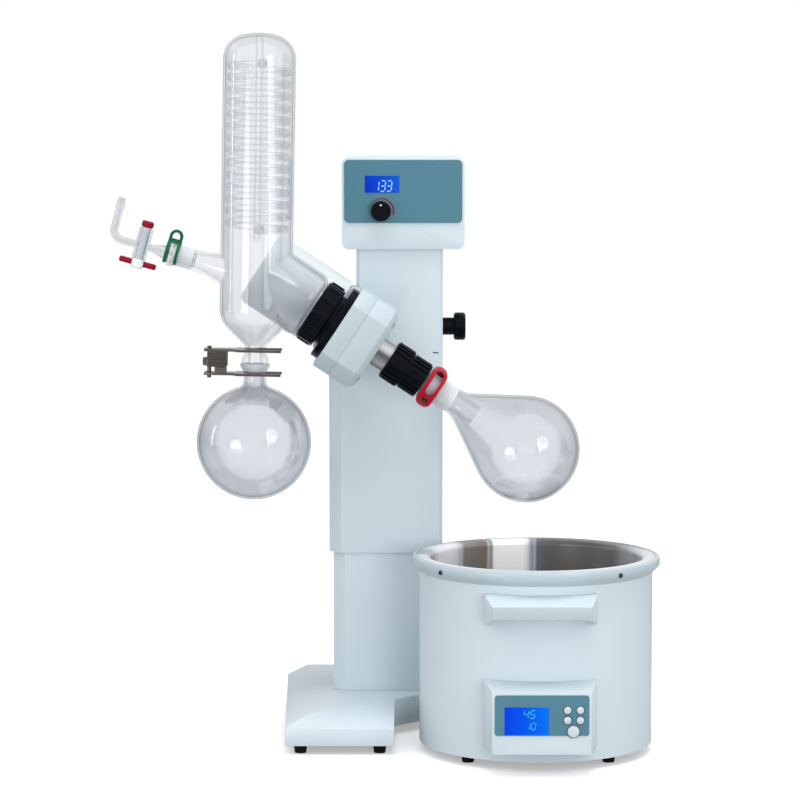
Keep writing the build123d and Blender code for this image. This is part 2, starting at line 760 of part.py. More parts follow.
def ear_clip(low, high, low_lip, high_lip, shell_radius):
    """Clip of two open rims that a saddle joins above, with an upright ear to pull it off by."""
    clip = tube(low, low + ear_clip_rim, shell_radius, low_lip)
    clip += tube(high - ear_clip_rim, high, shell_radius, high_lip)
    saddle = tube(low, high, shell_radius, shell_radius - ear_clip_wall)
    wide, far = 2 * shell_radius, high - low
    saddle -= block(-wide, shell_radius * 0.78, -wide, wide, low - far, high + far)
    clip += saddle
    clip -= block(-wide, -ear_clip_mouth, -wide, wide, low - far, high + far)
    middle, half = (low + high) / 2, far / 2
    crown = shell_radius + ear_height - half
    bar = half - ear_bar

    def upright(thickness, start, radius):
        plate = block(start, crown, -thickness, thickness, middle - radius, middle + radius)
        plate += Pos(crown, 0, middle) * Rot(90, 0, 0) * Cylinder(radius, 2 * thickness)
        return plate & block(start, crown + far, -far, far, low - far, high + far)

    ear = upright(ear_thickness / 2, shell_radius - 1.5, half) - upright(ear_thickness, shell_radius + 1.5, bar)
    return clip + ear


clip_low = flask_mouth + 0.5
clip_gap = 0.3
parts["flask_clip"] = drive * clip_form(
    clip_low, clip_low + clip_width, flask_bead_radius + clip_gap, flask_neck_radius + clip_gap, clip_radius
)

# Condenser jacket: domed body, cone and ball joint below, slanted branch to the drive, side arm
dome_turn = 75.0
dome_crown = jacket_dome + (jacket_radius - jacket_dome) / math.cos(math.radians(dome_turn))
crown_centre = jacket_top - dome_crown
dome_base = crown_centre + (jacket_radius - jacket_dome) * math.tan(math.radians(dome_turn))
cone_arc = 30.0


def jacket_form(inset):
    radius = jacket_radius - inset
    hub = (jacket_radius - jacket_dome, dome_base)
    corner = jacket_dome - inset
    crown = dome_crown - inset
    turn = cone_arc - inset
    cone_hub = (jacket_radius - cone_arc, jacket_cone_top)
    half = math.sqrt(0.5)
    cone_start = (cone_hub[0] + turn * half, cone_hub[1] - turn * half)
    neck = jacket_neck_radius if inset == 0 else ball_bore
    neck_at = cone_start[1] - (cone_start[0] - neck)
    ball_top = ball_centre + math.sqrt(ball_radius**2 - jacket_neck_radius**2)
    ball_low = ball_centre - math.sqrt(ball_radius**2 - ball_bore**2)
    crown_start = (crown * math.cos(math.radians(dome_turn)), crown_centre + crown * math.sin(math.radians(dome_turn)))
    lines = [
        arc((0, crown_centre), crown, 90, dome_turn),
        arc(hub, corner, dome_turn, 0),
        Line((radius, dome_base), (radius, jacket_cone_top)),
        arc(cone_hub, turn, 0, -45),
        Line(cone_start, (neck, neck_at)),
    ]
    if inset == 0:
        top_angle = math.degrees(math.asin((ball_top - ball_centre) / ball_radius))
        low_angle = -math.degrees(math.acos(ball_bore / ball_radius))
        lines += [
            Line((neck, neck_at), (neck, ball_top)),
            arc((0, ball_centre), ball_radius, top_angle, low_angle),
            Line((ball_bore, ball_low), (0, ball_low)),
            Line((0, ball_low), (0, crown_centre + crown)),
        ]
    else:
        lines += [
            Line((neck, neck_at), (neck, ball_low - 1)),
            Line((neck, ball_low - 1), (0, ball_low - 1)),
            Line((0, ball_low - 1), (0, crown_centre + crown)),
        ]
    return turned(*lines)


def branch_form(inset):
    radius = branch_radius - inset
    neck = branch_neck_radius - inset
    shoulder = (branch_neck_radius, branch_shoulder)
    return turned(
        Line((0, joint_s), (radius, joint_s)),
        Line((radius, joint_s), (radius, branch_shoulder)),
        arc(shoulder, branch_radius - branch_neck_radius - inset, 0, 75),
        Line(
            (
                shoulder[0] + (radius - shoulder[0]) * math.cos(math.radians(75)),
                shoulder[1] + (radius - shoulder[0]) * math.sin(math.radians(75)),
            ),
            (neck, nut_low - 1.5 * inset),
        ),
        Line((neck, nut_low - 1.5 * inset), (neck, nut_low + 9)),
        Line((neck, nut_low + 9), (0, nut_low + 9)),
        Line((0, nut_low + 9), (0, joint_s)),
    )


arm_place = Plane(
    origin=(arm_joint[0], drive_y, arm_joint[1]),
    x_dir=Vector(0, 0, 1).rotate(Axis.Y, arm_slope),
    z_dir=Vector(-1, 0, 0).rotate(Axis.Y, arm_slope),
).location


def arm_form(inset):
    tip = 0 if inset == 0 else 0.1
    return turned_points(
        (0, -arm_length), (arm_root_radius - inset, -arm_length), (arm_root_radius - inset, -70),
        (arm_radius + 0.8 - inset, -44), (arm_radius - 1.6 * inset, -30),
        (arm_radius - inset * 1.1, tip), (0, tip),
    )


nozzle = turned_points(
    (0, jacket_radius - 1), (nozzle_radius, jacket_radius - 1), (nozzle_radius, jacket_radius + 12),
    (nozzle_radius + 1, jacket_radius + 13), (nozzle_radius - 0.5, jacket_radius + 20),
    (nozzle_radius + 1, jacket_radius + 21), (nozzle_radius - 0.5, jacket_radius + 28),
    (nozzle_radius + 1, jacket_radius + 29), (nozzle_radius - 1, jacket_radius + nozzle_length),
    (0, jacket_radius + nozzle_length),
)
coil_rise = coil_pitch * coil_turns
nozzle_places = [glass * Pos(0, 0, coil_bottom + h) * Rot(-90, 0, 0) for h in (0, coil_rise)]
jacket = glass * jacket_form(0) + drive * branch_form(0) + arm_place * arm_form(0)
jacket += arm_place * tube(-4, 0, arm_rim_radius)
jacket += drive * tube(nut_low + 4.3, nut_low + 9, branch_flange_radius)
for place in nozzle_places:
    jacket += place * nozzle
jacket -= glass * jacket_form(glass_wall) + drive * branch_form(glass_wall) + arm_place * arm_form(glass_wall)
for place in nozzle_places:
    jacket -= place * tube(jacket_radius - 5, jacket_radius + nozzle_length + 1, nozzle_radius - 2.5)
parts["condenser_jacket"] = jacket

# Cooling coil: half turns of a torus, each one leaning so that the coil climbs; the core tube hangs
# from the dome and joins the lowest turn
half_rise = coil_pitch / 2
coil = None
for turn in range(2 * coil_turns):
    side = 1 if turn % 2 == 0 else -1
    low = Vector(side * coil_radius, 0, coil_bottom + turn * half_rise)
    high = Vector(-side * coil_radius, 0, coil_bottom + (turn + 1) * half_rise)
    normal = (high - low).cross(Vector(0, side, 0)).normalized()
    section = Plane(origin=low, x_dir=(1, 0, 0), z_dir=(0, 1, 0)) * Circle(coil_tube)
    half_turn = revolve(section, axis=Axis((low + high) / 2, normal), revolution_arc=180)
    coil = half_turn if coil is None else coil + half_turn
coil = Rot(0, 0, 90) * coil
inner_wall = jacket_radius - glass_wall
for height in (coil_bottom, coil_bottom + coil_rise):
    coil += Pos(0, 0, height) * Rot(-90, 0, 0) * tube(coil_radius, inner_wall - 0.5, coil_tube - 0.5)
    coil += Pos(0, coil_radius, height) * Sphere(coil_tube)
core_top = crown_centre + dome_crown - glass_wall - 0.1
core = tube(coil_bottom - 8, core_top, core_radius) + Pos(0, 0, coil_bottom - 8) * Sphere(core_radius)
link = Pos(0, 0, coil_bottom) * Rot(-90, 0, 0) * tube(0, coil_radius, core_radius - 0.6)
parts["condenser_coil"] = glass * (coil + core + link)

# Inlet: ground cone in the side arm, stopcock barrel, bent tube with a hose end, plug and handle
inlet = turned_points(
    (0, -29), (arm_radius - 1.6 * glass_wall - 0.1, -29), (arm_radius - 1.1 * glass_wall - 0.15, 0.3),
    (arm_rim_radius, 0.3), (arm_rim_radius, 4), (10, 5), (inlet_radius, 24),
    (inlet_radius, stopcock_at), (0, stopcock_at),
)
barrel = Pos(0, 0, stopcock_at) * Rot(0, 90, 0)
barrel_top = stopcock_length / 2
barrel_low = -barrel_top + barrel_short
inlet += barrel * tube(barrel_low, barrel_top, stopcock_radius)
bend_path = FilletPolyline(
    (0, 0, stopcock_at), (0, 0, inlet_reach), (inlet_rise, 0, inlet_reach), radius=inlet_bend
)
start_plane = Plane(origin=(0, 0, stopcock_at), z_dir=(0, 0, 1))
inlet += sweep(start_plane * Circle(inlet_radius), path=bend_path)
barb_place = Pos(inlet_rise, 0, inlet_reach) * Rot(0, 90, 0)
inlet += barb_place * turned_points(
    (0, -14), (inlet_radius, -14), (inlet_radius + 1.2, -11), (inlet_radius - 1.2, 0), (0, 0)
)
inlet -= sweep(start_plane * Circle(inlet_radius / 2), path=bend_path)
inlet -= barb_place * tube(-1, 1, inlet_radius / 2)
inlet -= tube(-30, stopcock_at, inlet_radius / 2)
inlet -= barrel * tube(-stopcock_length, stopcock_length, plug_radius + running_clearance)
parts["stopcock_body"] = arm_place * inlet
plug = tube(barrel_low - 2, barrel_top + 1, plug_radius)
plug_end = tube(barrel_low - plug_end_length, barrel_low - 0.3, plug_end_radius)
plug += fillet(plug_end.edges().filter_by(GeomType.CIRCLE).sort_by(Axis.Z)[0], 3)
plug -= Rot(0, 90, 0) * Pos(0, 0, -stopcock_radius) * tube(0, 2 * stopcock_radius, inlet_radius / 2)
grip_z = barrel_low - grip_drop
grip = fillet(Box(grip_length, grip_width, grip_width).edges(), 2.2)
plug -= Pos(0, 0, grip_z) * Box(grip_length, grip_width + 0.1, grip_width + 0.1)
cap = tube(barrel_top + 1, barrel_top + 9, cap_radius)
cap = fillet(cap.edges().filter_by(GeomType.CIRCLE), 2.5)
parts["stopcock_plug"] = arm_place * barrel * plug
parts["stopcock_handle"] = arm_place * barrel * Compound([Pos(0, 0, grip_z) * grip, cap])
side_clip = ear_clip(-7.7, 8.8, arm_radius + 0.7, 10.2, arm_rim_radius + 3)
parts["side_clip"] = arm_place * side_clip

# Receiver flask: a cup that takes the ball, a short neck and a round flask
turned_over = glass * Rot(180, 0, 0)
receiver_neck = math.sqrt((receiver_radius + 8) ** 2 - (receiver_neck_radius + 8) ** 2) + 0.5
neck_end = -receiver_centre - receiver_neck
cup_outer = ball_radius + cup_wall
receiver = flask_form(
    -ball_centre + 12, neck_end, receiver_neck_radius, 8, -receiver_centre, receiver_radius
)
receiver += Pos(0, 0, -ball_centre) * Sphere(cup_outer)
receiver -= Pos(0, 0, -ball_centre - 30 - 3) * Box(60, 60, 60)
receiver -= Pos(0, 0, -ball_centre) * Sphere(ball_radius + ball_gap)
receiver -= flask_form(
    -ball_centre, neck_end, receiver_neck_radius - glass_wall, 8 + glass_wall, -receiver_centre,
    receiver_radius - glass_wall,
)
parts["receiver_flask"] = turned_over * receiver


# Fork clamp: two slotted forks on one pin and a thumb screw in their tails
def fork_plate(low, slot, tail_half):
    plate = block(-fork_tail, fork_reach, -fork_half, fork_half, low, low + fork_thickness)
    plate -= block(-fork_tail - 1, -24, tail_half, fork_half + 1, low - 1, low + fork_thickness + 1)
    plate -= block(-fork_tail - 1, -24, -fork_half - 1, -tail_half, low - 1, low + fork_thickness + 1)
    plate -= block(0, fork_reach + 1, -slot, slot, low - 1, low + fork_thickness + 1)
    return plate - tube(low - 1, low + fork_thickness + 1, slot)


pin_z = (fork_upper + fork_lower) / 2
pin_place = Pos(fork_pin_at, 0, pin_z) * Rot(90, 0, 0)
screw_place = Pos(fork_screw_at, 0, 0)
upper = fork_plate(fork_upper - fork_thickness, fork_slot_upper, 12)
lower = fork_plate(fork_lower, fork_slot_lower, 12)
for side in (-1, 1):
    upper += Pos(-46, side * 10.75, 0) * block(-12, 12, -1.25, 1.25, pin_z - 6, fork_upper)
    lower += Pos(-42, side * 8.2, 0) * block(-7, 7, -1.0, 1.0, fork_lower, pin_z + 5)
pin_radius = 2.5
lower -= pin_place * Pos(0, 0, -15) * tube(0, 30, pin_radius + running_clearance)
upper += pin_place * Pos(0, 0, -11.5) * tube(0, 23, pin_radius)
screw_radius_clear = 2.5
screw_play = 2.3
upper -= screw_place * tube(fork_upper - 5, fork_upper + 1, screw_radius_clear + running_clearance)
lower -= screw_place * tube(fork_lower - 1, fork_lower + 5, screw_radius_clear + screw_play)
screw = tube(fork_lower - 4, fork_upper + 3, screw_radius_clear)
wheel = tube(pin_z - 5, pin_z + 5, 8.0)
screw += chamfer(wheel.edges().filter_by(GeomType.CIRCLE), 1)
parts["clamp_fork_upper"] = glass * upper
parts["clamp_fork_lower"] = glass * lower
parts["clamp_screw"] = glass * screw_place * screw

# Write every piece with the origin at the bottom centre of the whole object
os.makedirs("parts", exist_ok=True)
whole = Compound(list(parts.values())).bounding_box()
shift = Pos(-whole.center().X, -whole.center().Y, -whole.min.Z)
for name, shape in parts.items():
    export_step(shift * shape, f"parts/{name}.step")
print("origin", whole.center().X, whole.center().Y, whole.min.Z)
print("size", whole.size)
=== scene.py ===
import bpy
import bmesh
import json
import math
from mathutils import Matrix, Vector


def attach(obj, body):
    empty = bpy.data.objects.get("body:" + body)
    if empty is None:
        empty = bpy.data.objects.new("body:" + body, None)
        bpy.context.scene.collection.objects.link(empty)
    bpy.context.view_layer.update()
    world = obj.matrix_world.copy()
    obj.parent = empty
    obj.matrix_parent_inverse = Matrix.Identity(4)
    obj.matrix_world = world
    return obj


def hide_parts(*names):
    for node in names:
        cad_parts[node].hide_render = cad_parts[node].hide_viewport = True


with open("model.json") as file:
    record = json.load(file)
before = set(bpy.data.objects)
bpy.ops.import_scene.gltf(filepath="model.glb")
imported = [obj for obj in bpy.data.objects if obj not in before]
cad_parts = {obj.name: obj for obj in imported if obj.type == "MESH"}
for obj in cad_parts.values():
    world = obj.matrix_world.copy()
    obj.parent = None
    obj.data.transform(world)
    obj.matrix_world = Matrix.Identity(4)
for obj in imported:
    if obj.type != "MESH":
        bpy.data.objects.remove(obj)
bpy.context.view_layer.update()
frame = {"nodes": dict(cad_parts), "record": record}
nodes = frame["nodes"]
bodyOf = {n: b for b, members in frame["record"]["behaviour"]["bodies"].items() for n in members}
slotOf = {s["node"]: s["material_slot"] for s in frame["record"]["subparts"]}
print("frame loaded,", len(nodes), "nodes")

# Camera: it looks a little down on the machine from the front, far away and with a long lens
shot = {"place": (0.0167, -3.7813, 0.780), "down": 5.37, "lens": 137.25, "sensor": 36.0}
cam = bpy.data.objects.new("camera", bpy.data.cameras.new("camera"))
bpy.context.scene.collection.objects.link(cam)
cam.location = shot["place"]
cam.rotation_euler = (math.radians(90 - shot["down"]), 0, 0)
cam.data.lens = shot["lens"]
cam.data.sensor_width = shot["sensor"]
cam.data.clip_end = 60
bpy.context.scene.camera = cam
bpy.context.scene.view_settings.view_transform = "Standard"
bpy.context.scene.cycles.transparent_max_bounces = 48
bpy.context.scene.cycles.max_bounces = 12


# Shader maths as plain expressions: one socket with the operators that the materials use
class Sock:
    def __init__(self, tree, socket):
        self.tree, self.socket = tree, socket

    def math(self, kind, *others):
        node = self.tree.nodes.new("ShaderNodeMath")
        node.operation = kind
        for i, value in enumerate((self,) + others):
            if isinstance(value, Sock):
                self.tree.links.new(value.socket, node.inputs[i])
            else:
                node.inputs[i].default_value = value
        return Sock(self.tree, node.outputs[0])

    def __add__(self, other):
        return self.math("ADD", other)

    def __sub__(self, other):
        return self.math("SUBTRACT", other)

    def __mul__(self, other):
        return self.math("MULTIPLY", other)

    def __rsub__(self, other):
        return (self * -1) + other

    __radd__ = __add__
    __rmul__ = __mul__

    def __pow__(self, other):
        return self.math("POWER", other)

    def clamped(self):
        return self.math("MAXIMUM", 0.0).math("MINIMUM", 1.0)


class Nodes:  # a node tree and the calls that fill it
    def __init__(self, tree):
        self.tree = tree
        tree.nodes.clear()

    def make(self, kind, settings=None, **values):
        node = self.tree.nodes.new(kind)
        for key, value in (settings or {}).items():
            if key == "stops":
                ramp = node.color_ramp
                while len(ramp.elements) < len(value):
                    ramp.elements.new(0.5)
                for stop, (at, colour) in zip(ramp.elements, value):
                    stop.position, stop.color = at, colour
            else:
                setattr(node, key, value)
        for key, value in values.items():
            numbered = key[0] == "i" and key[1:].isdigit()
            socket = node.inputs[int(key[1:]) if numbered else key.replace("_", " ")]
            if isinstance(value, Sock):
                value = value.socket
            if isinstance(value, bpy.types.NodeSocket):
                self.tree.links.new(value, socket)
            else:
                socket.default_value = value
        return node

    def along(self, vector, direction):
        node = self.make("ShaderNodeVectorMath", {"operation": "DOT_PRODUCT"}, i0=vector, i1=direction)
        return Sock(self.tree, node.outputs["Value"])

    def ramp(self, value, *stops):
        node = self.make("ShaderNodeValToRGB", {"stops": stops}, Fac=value)
        return node.outputs["Color"]

    def blend(self, factor, first, second):
        return self.make("ShaderNodeMix", {"data_type": "RGBA"}, i0=factor, i6=first, i7=second).outputs[2]

    def times(self, first, second):
        node = self.make("ShaderNodeMix", {"data_type": "RGBA", "blend_type": "MULTIPLY"}, i0=1.0, i6=first, i7=second)
        return node.outputs[2]


class Finish(Nodes):  # one material whose patterns stand on the piece's own coordinates
    def __init__(self, name):
        self.material = bpy.data.materials.new(name)
        self.material.use_nodes = True
        super().__init__(self.material.node_tree)
        self.spots = self.make("ShaderNodeTexCoord").outputs["Object"]

    def mapped(self, scale=(1, 1, 1), place=(0, 0, 0)):
        return self.make("ShaderNodeMapping", Vector=self.spots, Scale=scale, Location=place).outputs["Vector"]

    def noise(self, scale, detail=3.0, vector=None, rough=0.5):
        node = self.make("ShaderNodeTexNoise", Vector=vector or self.spots, Scale=scale, Detail=detail, Roughness=rough)
        return Sock(self.tree, node.outputs["Fac"])

    def bump(self, height, strength, distance):
        return self.make("ShaderNodeBump", Height=height, Strength=strength, Distance=distance).outputs["Normal"]

    def solid(self, **values):
        shader = self.make("ShaderNodeBsdfPrincipled", None, **values)
        return self.shown(shader.outputs[0])

    def crossed(self, share, first, second):
        node = self.make("ShaderNodeMixShader", None, i0=share, i1=first.outputs[0], i2=second.outputs[0])
        return self.shown(node.outputs[0])

    def shown(self, shader):
        self.make("ShaderNodeOutputMaterial", None, Surface=shader)
        return self.material


def tone(red, green, blue):
    # an 8 bit tone as the linear colour that the shader wants
    steps = [v / 255 for v in (red, green, blue)]
    return tuple(v / 12.92 if v <= 0.04045 else ((v + 0.055) / 1.055) ** 2.4 for v in steps) + (1.0,)


print("camera and shader tools ready")


# Finishes
def dimmed(colour, share):
    return tuple(c * share for c in colour[:3]) + (1.0,)


def paintFinish(name, colour):
    # powder paint: faint cloudiness, a fine orange peel and slightly duller low spots
    f = Finish(name)
    cloud = f.noise(7.0, 4.0)
    peel = f.noise(850.0, 2.0)
    dust = f.noise(60.0, 5.0)
    shade = f.blend((cloud * 1.6 - 0.3).clamped() * 0.6, colour, dimmed(colour, 0.94))
    return f.solid(
        Base_Color=shade, Roughness=dust * 0.14 + 0.26, Normal=f.bump(peel, 0.1, 0.0004), Specular_IOR_Level=0.42,
        Coat_Weight=0.3, Coat_Roughness=0.12,
    )


def plasticFinish(name, colour, rough=0.3, grain=700.0, shine=0.4, relief=0.06, low=0.8):
    f = Finish(name)
    fine = f.noise(grain, 2.0)
    cloud = f.noise(25.0, 3.0)
    shade = f.blend(cloud * 0.6, colour, dimmed(colour, low))
    spread = cloud * 0.14 + (rough - 0.07)
    return f.solid(Base_Color=shade, Roughness=spread, Normal=f.bump(fine, relief, 0.0003), Specular_IOR_Level=shine)


def brushedFinish(name, colour, scale, rough=0.22, darker=0.72):
    # long fine scratches along one direction, from a noise stretched by its mapping
    f = Finish(name)
    streak = f.noise(1.0, 4.0, f.mapped(scale), 0.6)
    stain = f.noise(14.0, 3.0)
    shade = f.blend((streak * 1.5 - 0.25).clamped(), dimmed(colour, darker), colour)
    spread = streak * 0.16 + stain * 0.08 + (rough - 0.1)
    return f.solid(Base_Color=shade, Metallic=1.0, Roughness=spread, Normal=f.bump(streak, 0.12, 0.0003))


def potFinish(name, middle, colour, paintedReflectionBands):
    # deep drawn pot: painted reflections, as light and dark bands down the wall set by the angle round the axis, over
    # rings of brushing round the axis and a soft blotch
    f = Finish(name)
    parts = f.make("ShaderNodeSeparateXYZ", None, Vector=f.mapped(place=(-middle[0], -middle[1], 0)))
    x, y, z = (Sock(f.tree, parts.outputs[i]) for i in range(3))
    radius = (x * x + y * y) ** 0.5
    angle = y.math("ARCTAN2", x)
    rings = f.make("ShaderNodeCombineXYZ", None, X=radius * 900, Y=angle * 2.0, Z=z * 900).outputs[0]
    streak = f.noise(1.0, 3.0, rings, 0.6)
    stain = f.noise(11.0, 3.0)
    comb = f.make("ShaderNodeCombineXYZ", None, X=angle * 24, Y=z * 3, Z=0.0).outputs[0]
    drawn = f.noise(1.0, 3.0, comb, 0.6)
    # painted reflection: bright and dark bands by the angle round the axis, not by where the lamps stand
    paintedReflection = f.ramp(angle * (0.5 / math.pi) + 0.5 + (drawn - 0.5) * 0.03, *paintedReflectionBands)
    shade = f.blend((streak * 0.8 + stain * 0.4 - 0.1).clamped(), dimmed(colour, 0.84), colour)
    shade = f.times(shade, paintedReflection)
    spread = streak * 0.1 + stain * 0.08 + 0.24
    # the painted bright bands are made less metallic, so that they stay light under any lamp
    metal = Sock(f.tree, paintedReflection) * -0.75 + 1.04
    return f.solid(Base_Color=shade, Metallic=metal, Roughness=spread, Normal=f.bump(streak, 0.1, 0.0002))


def bandedFinish(name, place, paintedReflectionBands):
    # turned tube: painted reflections as light and dark bands that stand round its axis, under fine turning marks
    f = Finish(name)
    centred = f.mapped(place=-place.translation)
    x, y, z = (f.along(centred, place.col[i].xyz.normalized()) for i in range(3))
    turn = y.math("ARCTAN2", x) * (0.5 / math.pi) + 0.5
    marks = f.make("ShaderNodeCombineXYZ", None, X=turn * 6, Y=0.0, Z=z * 2600).outputs[0]
    streak = f.noise(1.0, 3.0, marks, 0.6)
    # painted reflection: the bands follow the angle round the tube's axis, not the lamps
    shade = f.ramp(turn + (streak - 0.5) * 0.02, *paintedReflectionBands)
    shade = f.blend(streak * 0.5, shade, f.times(shade, (0.75, 0.75, 0.75, 1)))
    return f.solid(Base_Color=shade, Metallic=0.8, Roughness=streak * 0.12 + 0.24, Normal=f.bump(streak, 0.1, 0.0002))


def glassFinish(name, body, edge, power, gloss=0.75, least=0.02):
    # thin clear walls: see-through, with darker rims where a wall is seen edge on, and a surface gloss
    f = Finish(name)
    facing = Sock(f.tree, f.make("ShaderNodeLayerWeight", None, Blend=0.5).outputs["Facing"])
    wave = f.noise(35.0, 2.0)
    tint = f.blend((facing ** power + wave * 0.03).clamped(), body, edge)
    clear = f.make("ShaderNodeBsdfTransparent", None, Color=tint)
    shine = f.make("ShaderNodeBsdfGlossy", None, Color=(1, 1, 1, 1), Roughness=0.03)
    fresnel = Sock(f.tree, f.make("ShaderNodeFresnel", None, IOR=1.47).outputs[0])
    return f.crossed((fresnel.math("MINIMUM", 0.45) * gloss + least).clamped(), clear, shine)


def frostFinish(name, colour, cover):
    # ground glass: a white veil over a see-through wall
    f = Finish(name)
    grain = f.noise(600.0, 3.0)
    clear = f.make("ShaderNodeBsdfTransparent", None, Color=(0.9, 0.92, 0.94, 1))
    veil = f.make("ShaderNodeBsdfPrincipled", None, Base_Color=colour, Roughness=0.45)
    return f.crossed((grain * 0.2 + (cover - 0.1)).clamped(), clear, veil)


def litFinish(name, colour, far, span, strength):
    # back-lit display: its own light under a matt window, lighter toward its right end, with a faint cloud
    f = Finish(name)
    cloud = f.noise(45.0, 2.0)
    x = Sock(f.tree, f.make("ShaderNodeSeparateXYZ", None, Vector=f.spots).outputs[0])
    reach = ((x - span[0]) * (1 / (span[1] - span[0]))).clamped()
    glow = f.blend((reach * 0.9 + (cloud - 0.5) * 0.5).clamped(), colour, far)
    spread = f.noise(300.0, 2.0) * 0.06 + 0.2
    return f.solid(
        Base_Color=dimmed(colour, 0.2), Roughness=spread, Emission_Color=glow, Emission_Strength=strength,
        Specular_IOR_Level=0.08,
    )


paint = paintFinish("body_paint", tone(209, 221, 227))
# painted shade: a darker copy of the body paint, on the gearbox cases, the bath rim and the handle's front face
shadedPaint = paintFinish("casting_paint", tone(184, 197, 203))
motorPaint = paintFinish("motor_paint", tone(214, 221, 222))
teal = plasticFinish("teal_panel", tone(84, 130, 146), 0.42, 1200.0, 0.2, 0.1, 0.86)
black = plasticFinish("black_moulding", tone(3, 7, 15), 0.2, 500.0, 0.1)
rubber = plasticFinish("foot_rubber", tone(14, 17, 21), 0.6, 300.0, 0.15, 0.2)
redPlastic = plasticFinish("red_moulding", tone(176, 0, 34), 0.28, 500.0, 0.22)
wineRed = plasticFinish("wine_red_moulding", tone(146, 0, 36), 0.28, 500.0, 0.22)
greenPlastic = plasticFinish("green_moulding", tone(0, 96, 60), 0.28, 500.0, 0.22)
whitePlastic = plasticFinish("white_moulding", tone(238, 241, 245), 0.3, 700.0, 0.4, low=0.94)
silver = plasticFinish("silver_key", tone(205, 213, 218), 0.22, 700.0, 0.6, low=0.9)
clampSteel = brushedFinish("plated_clamp", tone(122, 116, 110), (60, 700, 700), rough=0.13, darker=0.3)
screwSteel = brushedFinish("screw_steel", tone(96, 98, 102), (400, 400, 60))
innerSteel = brushedFinish("plain_steel", tone(170, 172, 175), (300, 300, 40), rough=0.3)
bronze = brushedFinish("bronze", tone(190, 150, 95), (300, 300, 60), rough=0.3)
# its stops are painted reflections: bright and dark bands by the angle round the pot's axis
potSteel = potFinish(
    "drawn_steel", (0.18373, -0.06725), tone(255, 255, 255),
    [
        (0.0, tone(246, 246, 248)), (0.1, tone(252, 252, 252)), (0.2, tone(240, 238, 236)),
        (0.32, tone(255, 255, 255)), (0.42, tone(244, 242, 240)), (0.52, tone(230, 232, 234)),
        (0.58, tone(178, 180, 182)), (0.61, tone(132, 132, 132)), (0.655, tone(122, 121, 118)),
        (0.72, tone(116, 114, 110)), (0.742, tone(118, 124, 142)), (0.76, tone(255, 255, 255)),
        (0.805, tone(255, 255, 255)), (0.822, tone(140, 132, 124)), (0.86, tone(160, 154, 148)),
        (0.885, tone(246, 246, 248)), (0.93, tone(250, 250, 255)), (0.965, tone(196, 198, 202)),
    ],
)
clearGlass = glassFinish("clear_glass", (0.905, 0.912, 0.924, 1), (0.12, 0.13, 0.16, 1), 7.5)
jacketGlass = glassFinish("jacket_glass", (0.974, 0.978, 0.985, 1), (0.2, 0.22, 0.25, 1), 9.0, 0.6, 0.014)
coilGlass = glassFinish("coil_glass", (0.997, 0.998, 0.999, 1), (0.88, 0.9, 0.92, 1), 3.0, 0.8)
frost = frostFinish("ground_glass", (0.86, 0.885, 0.9, 1), 0.5)
headBlue = litFinish("head_display_blue", tone(0, 48, 200), tone(20, 100, 216), (-0.0273, 0.0157), 0.82)
bathBlue = litFinish("bath_display_blue", tone(0, 60, 226), tone(0, 122, 244), (0.1397, 0.1917), 0.86)
lcdMark = litFinish("display_marks", tone(150, 208, 255), tone(160, 214, 255), (0, 0.2), 0.9)
lcdCyan = litFinish("display_cyan_marks", tone(70, 196, 250), tone(80, 206, 250), (0, 0.2), 0.9)
print("finishes ready")


# Mesh helpers
def linked(name, mesh, finish, body):
    piece = bpy.data.objects.new(name, mesh)
    bpy.context.scene.collection.objects.link(piece)
    if finish:
        mesh.materials.clear()
        mesh.materials.append(finish)
    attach(piece, body)
    return piece


def smoothed(mesh, angle):
    work = bmesh.new()
    work.from_mesh(mesh)
    bmesh.ops.remove_doubles(work, verts=work.verts, dist=1e-5)
    bmesh.ops.dissolve_degenerate(work, edges=work.edges, dist=1e-6)
    for face in work.faces:
        face.smooth = True
    limit = math.radians(angle)
    for edge in work.edges:
        edge.smooth = len(edge.link_faces) == 2 and edge.calc_face_angle(0.0) < limit
    work.to_mesh(mesh)
    work.free()


def ordered(work):
    # a bevel leaves its corners and faces in no fixed order, so they are lined up across the piece
    across = Vector((1.0, 2 ** 0.5, 5 ** 0.5))  # no two corners share a place along it
    work.verts.sort(key=lambda v: v.co.dot(across))
    work.edges.sort(key=lambda e: (e.verts[0].co + e.verts[1].co).dot(across))
    work.faces.sort(key=lambda f: f.calc_center_median().dot(across))
    for parts in (work.verts, work.edges, work.faces):
        parts.index_update()


def rounded(mesh, width, steps=2, flat=0.6, sharp=28):
    # small round on every sharp edge, as paint and pressed sheet have it
    work = bmesh.new()
    work.from_mesh(mesh)
    bmesh.ops.remove_doubles(work, verts=work.verts, dist=1e-5)
    bmesh.ops.dissolve_limit(work, angle_limit=math.radians(flat), verts=work.verts, edges=work.edges)
    limit = math.radians(sharp)
    edges = [e for e in work.edges if len(e.link_faces) == 2 and e.calc_face_angle(0.0) > limit]
    bmesh.ops.bevel(
        work, geom=edges, offset=width, offset_type="OFFSET", segments=steps, profile=0.5, affect="EDGES",
        clamp_overlap=True,
    )
    bmesh.ops.triangulate(work, faces=[f for f in work.faces if len(f.verts) > 4])
    ordered(work)
    work.to_mesh(mesh)
    work.free()


def dressed(node, finish, angle=32, round=0.0):
    # a copy of the CAD piece with shared corners and smooth shading stands for it
    mesh = nodes[node].data.copy()
    mesh.name = node + "_skin"
    if round:
        rounded(mesh, round)
    smoothed(mesh, angle)
    piece = linked(node + "_skin", mesh, finish, bodyOf[node])
    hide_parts(node)
    return piece


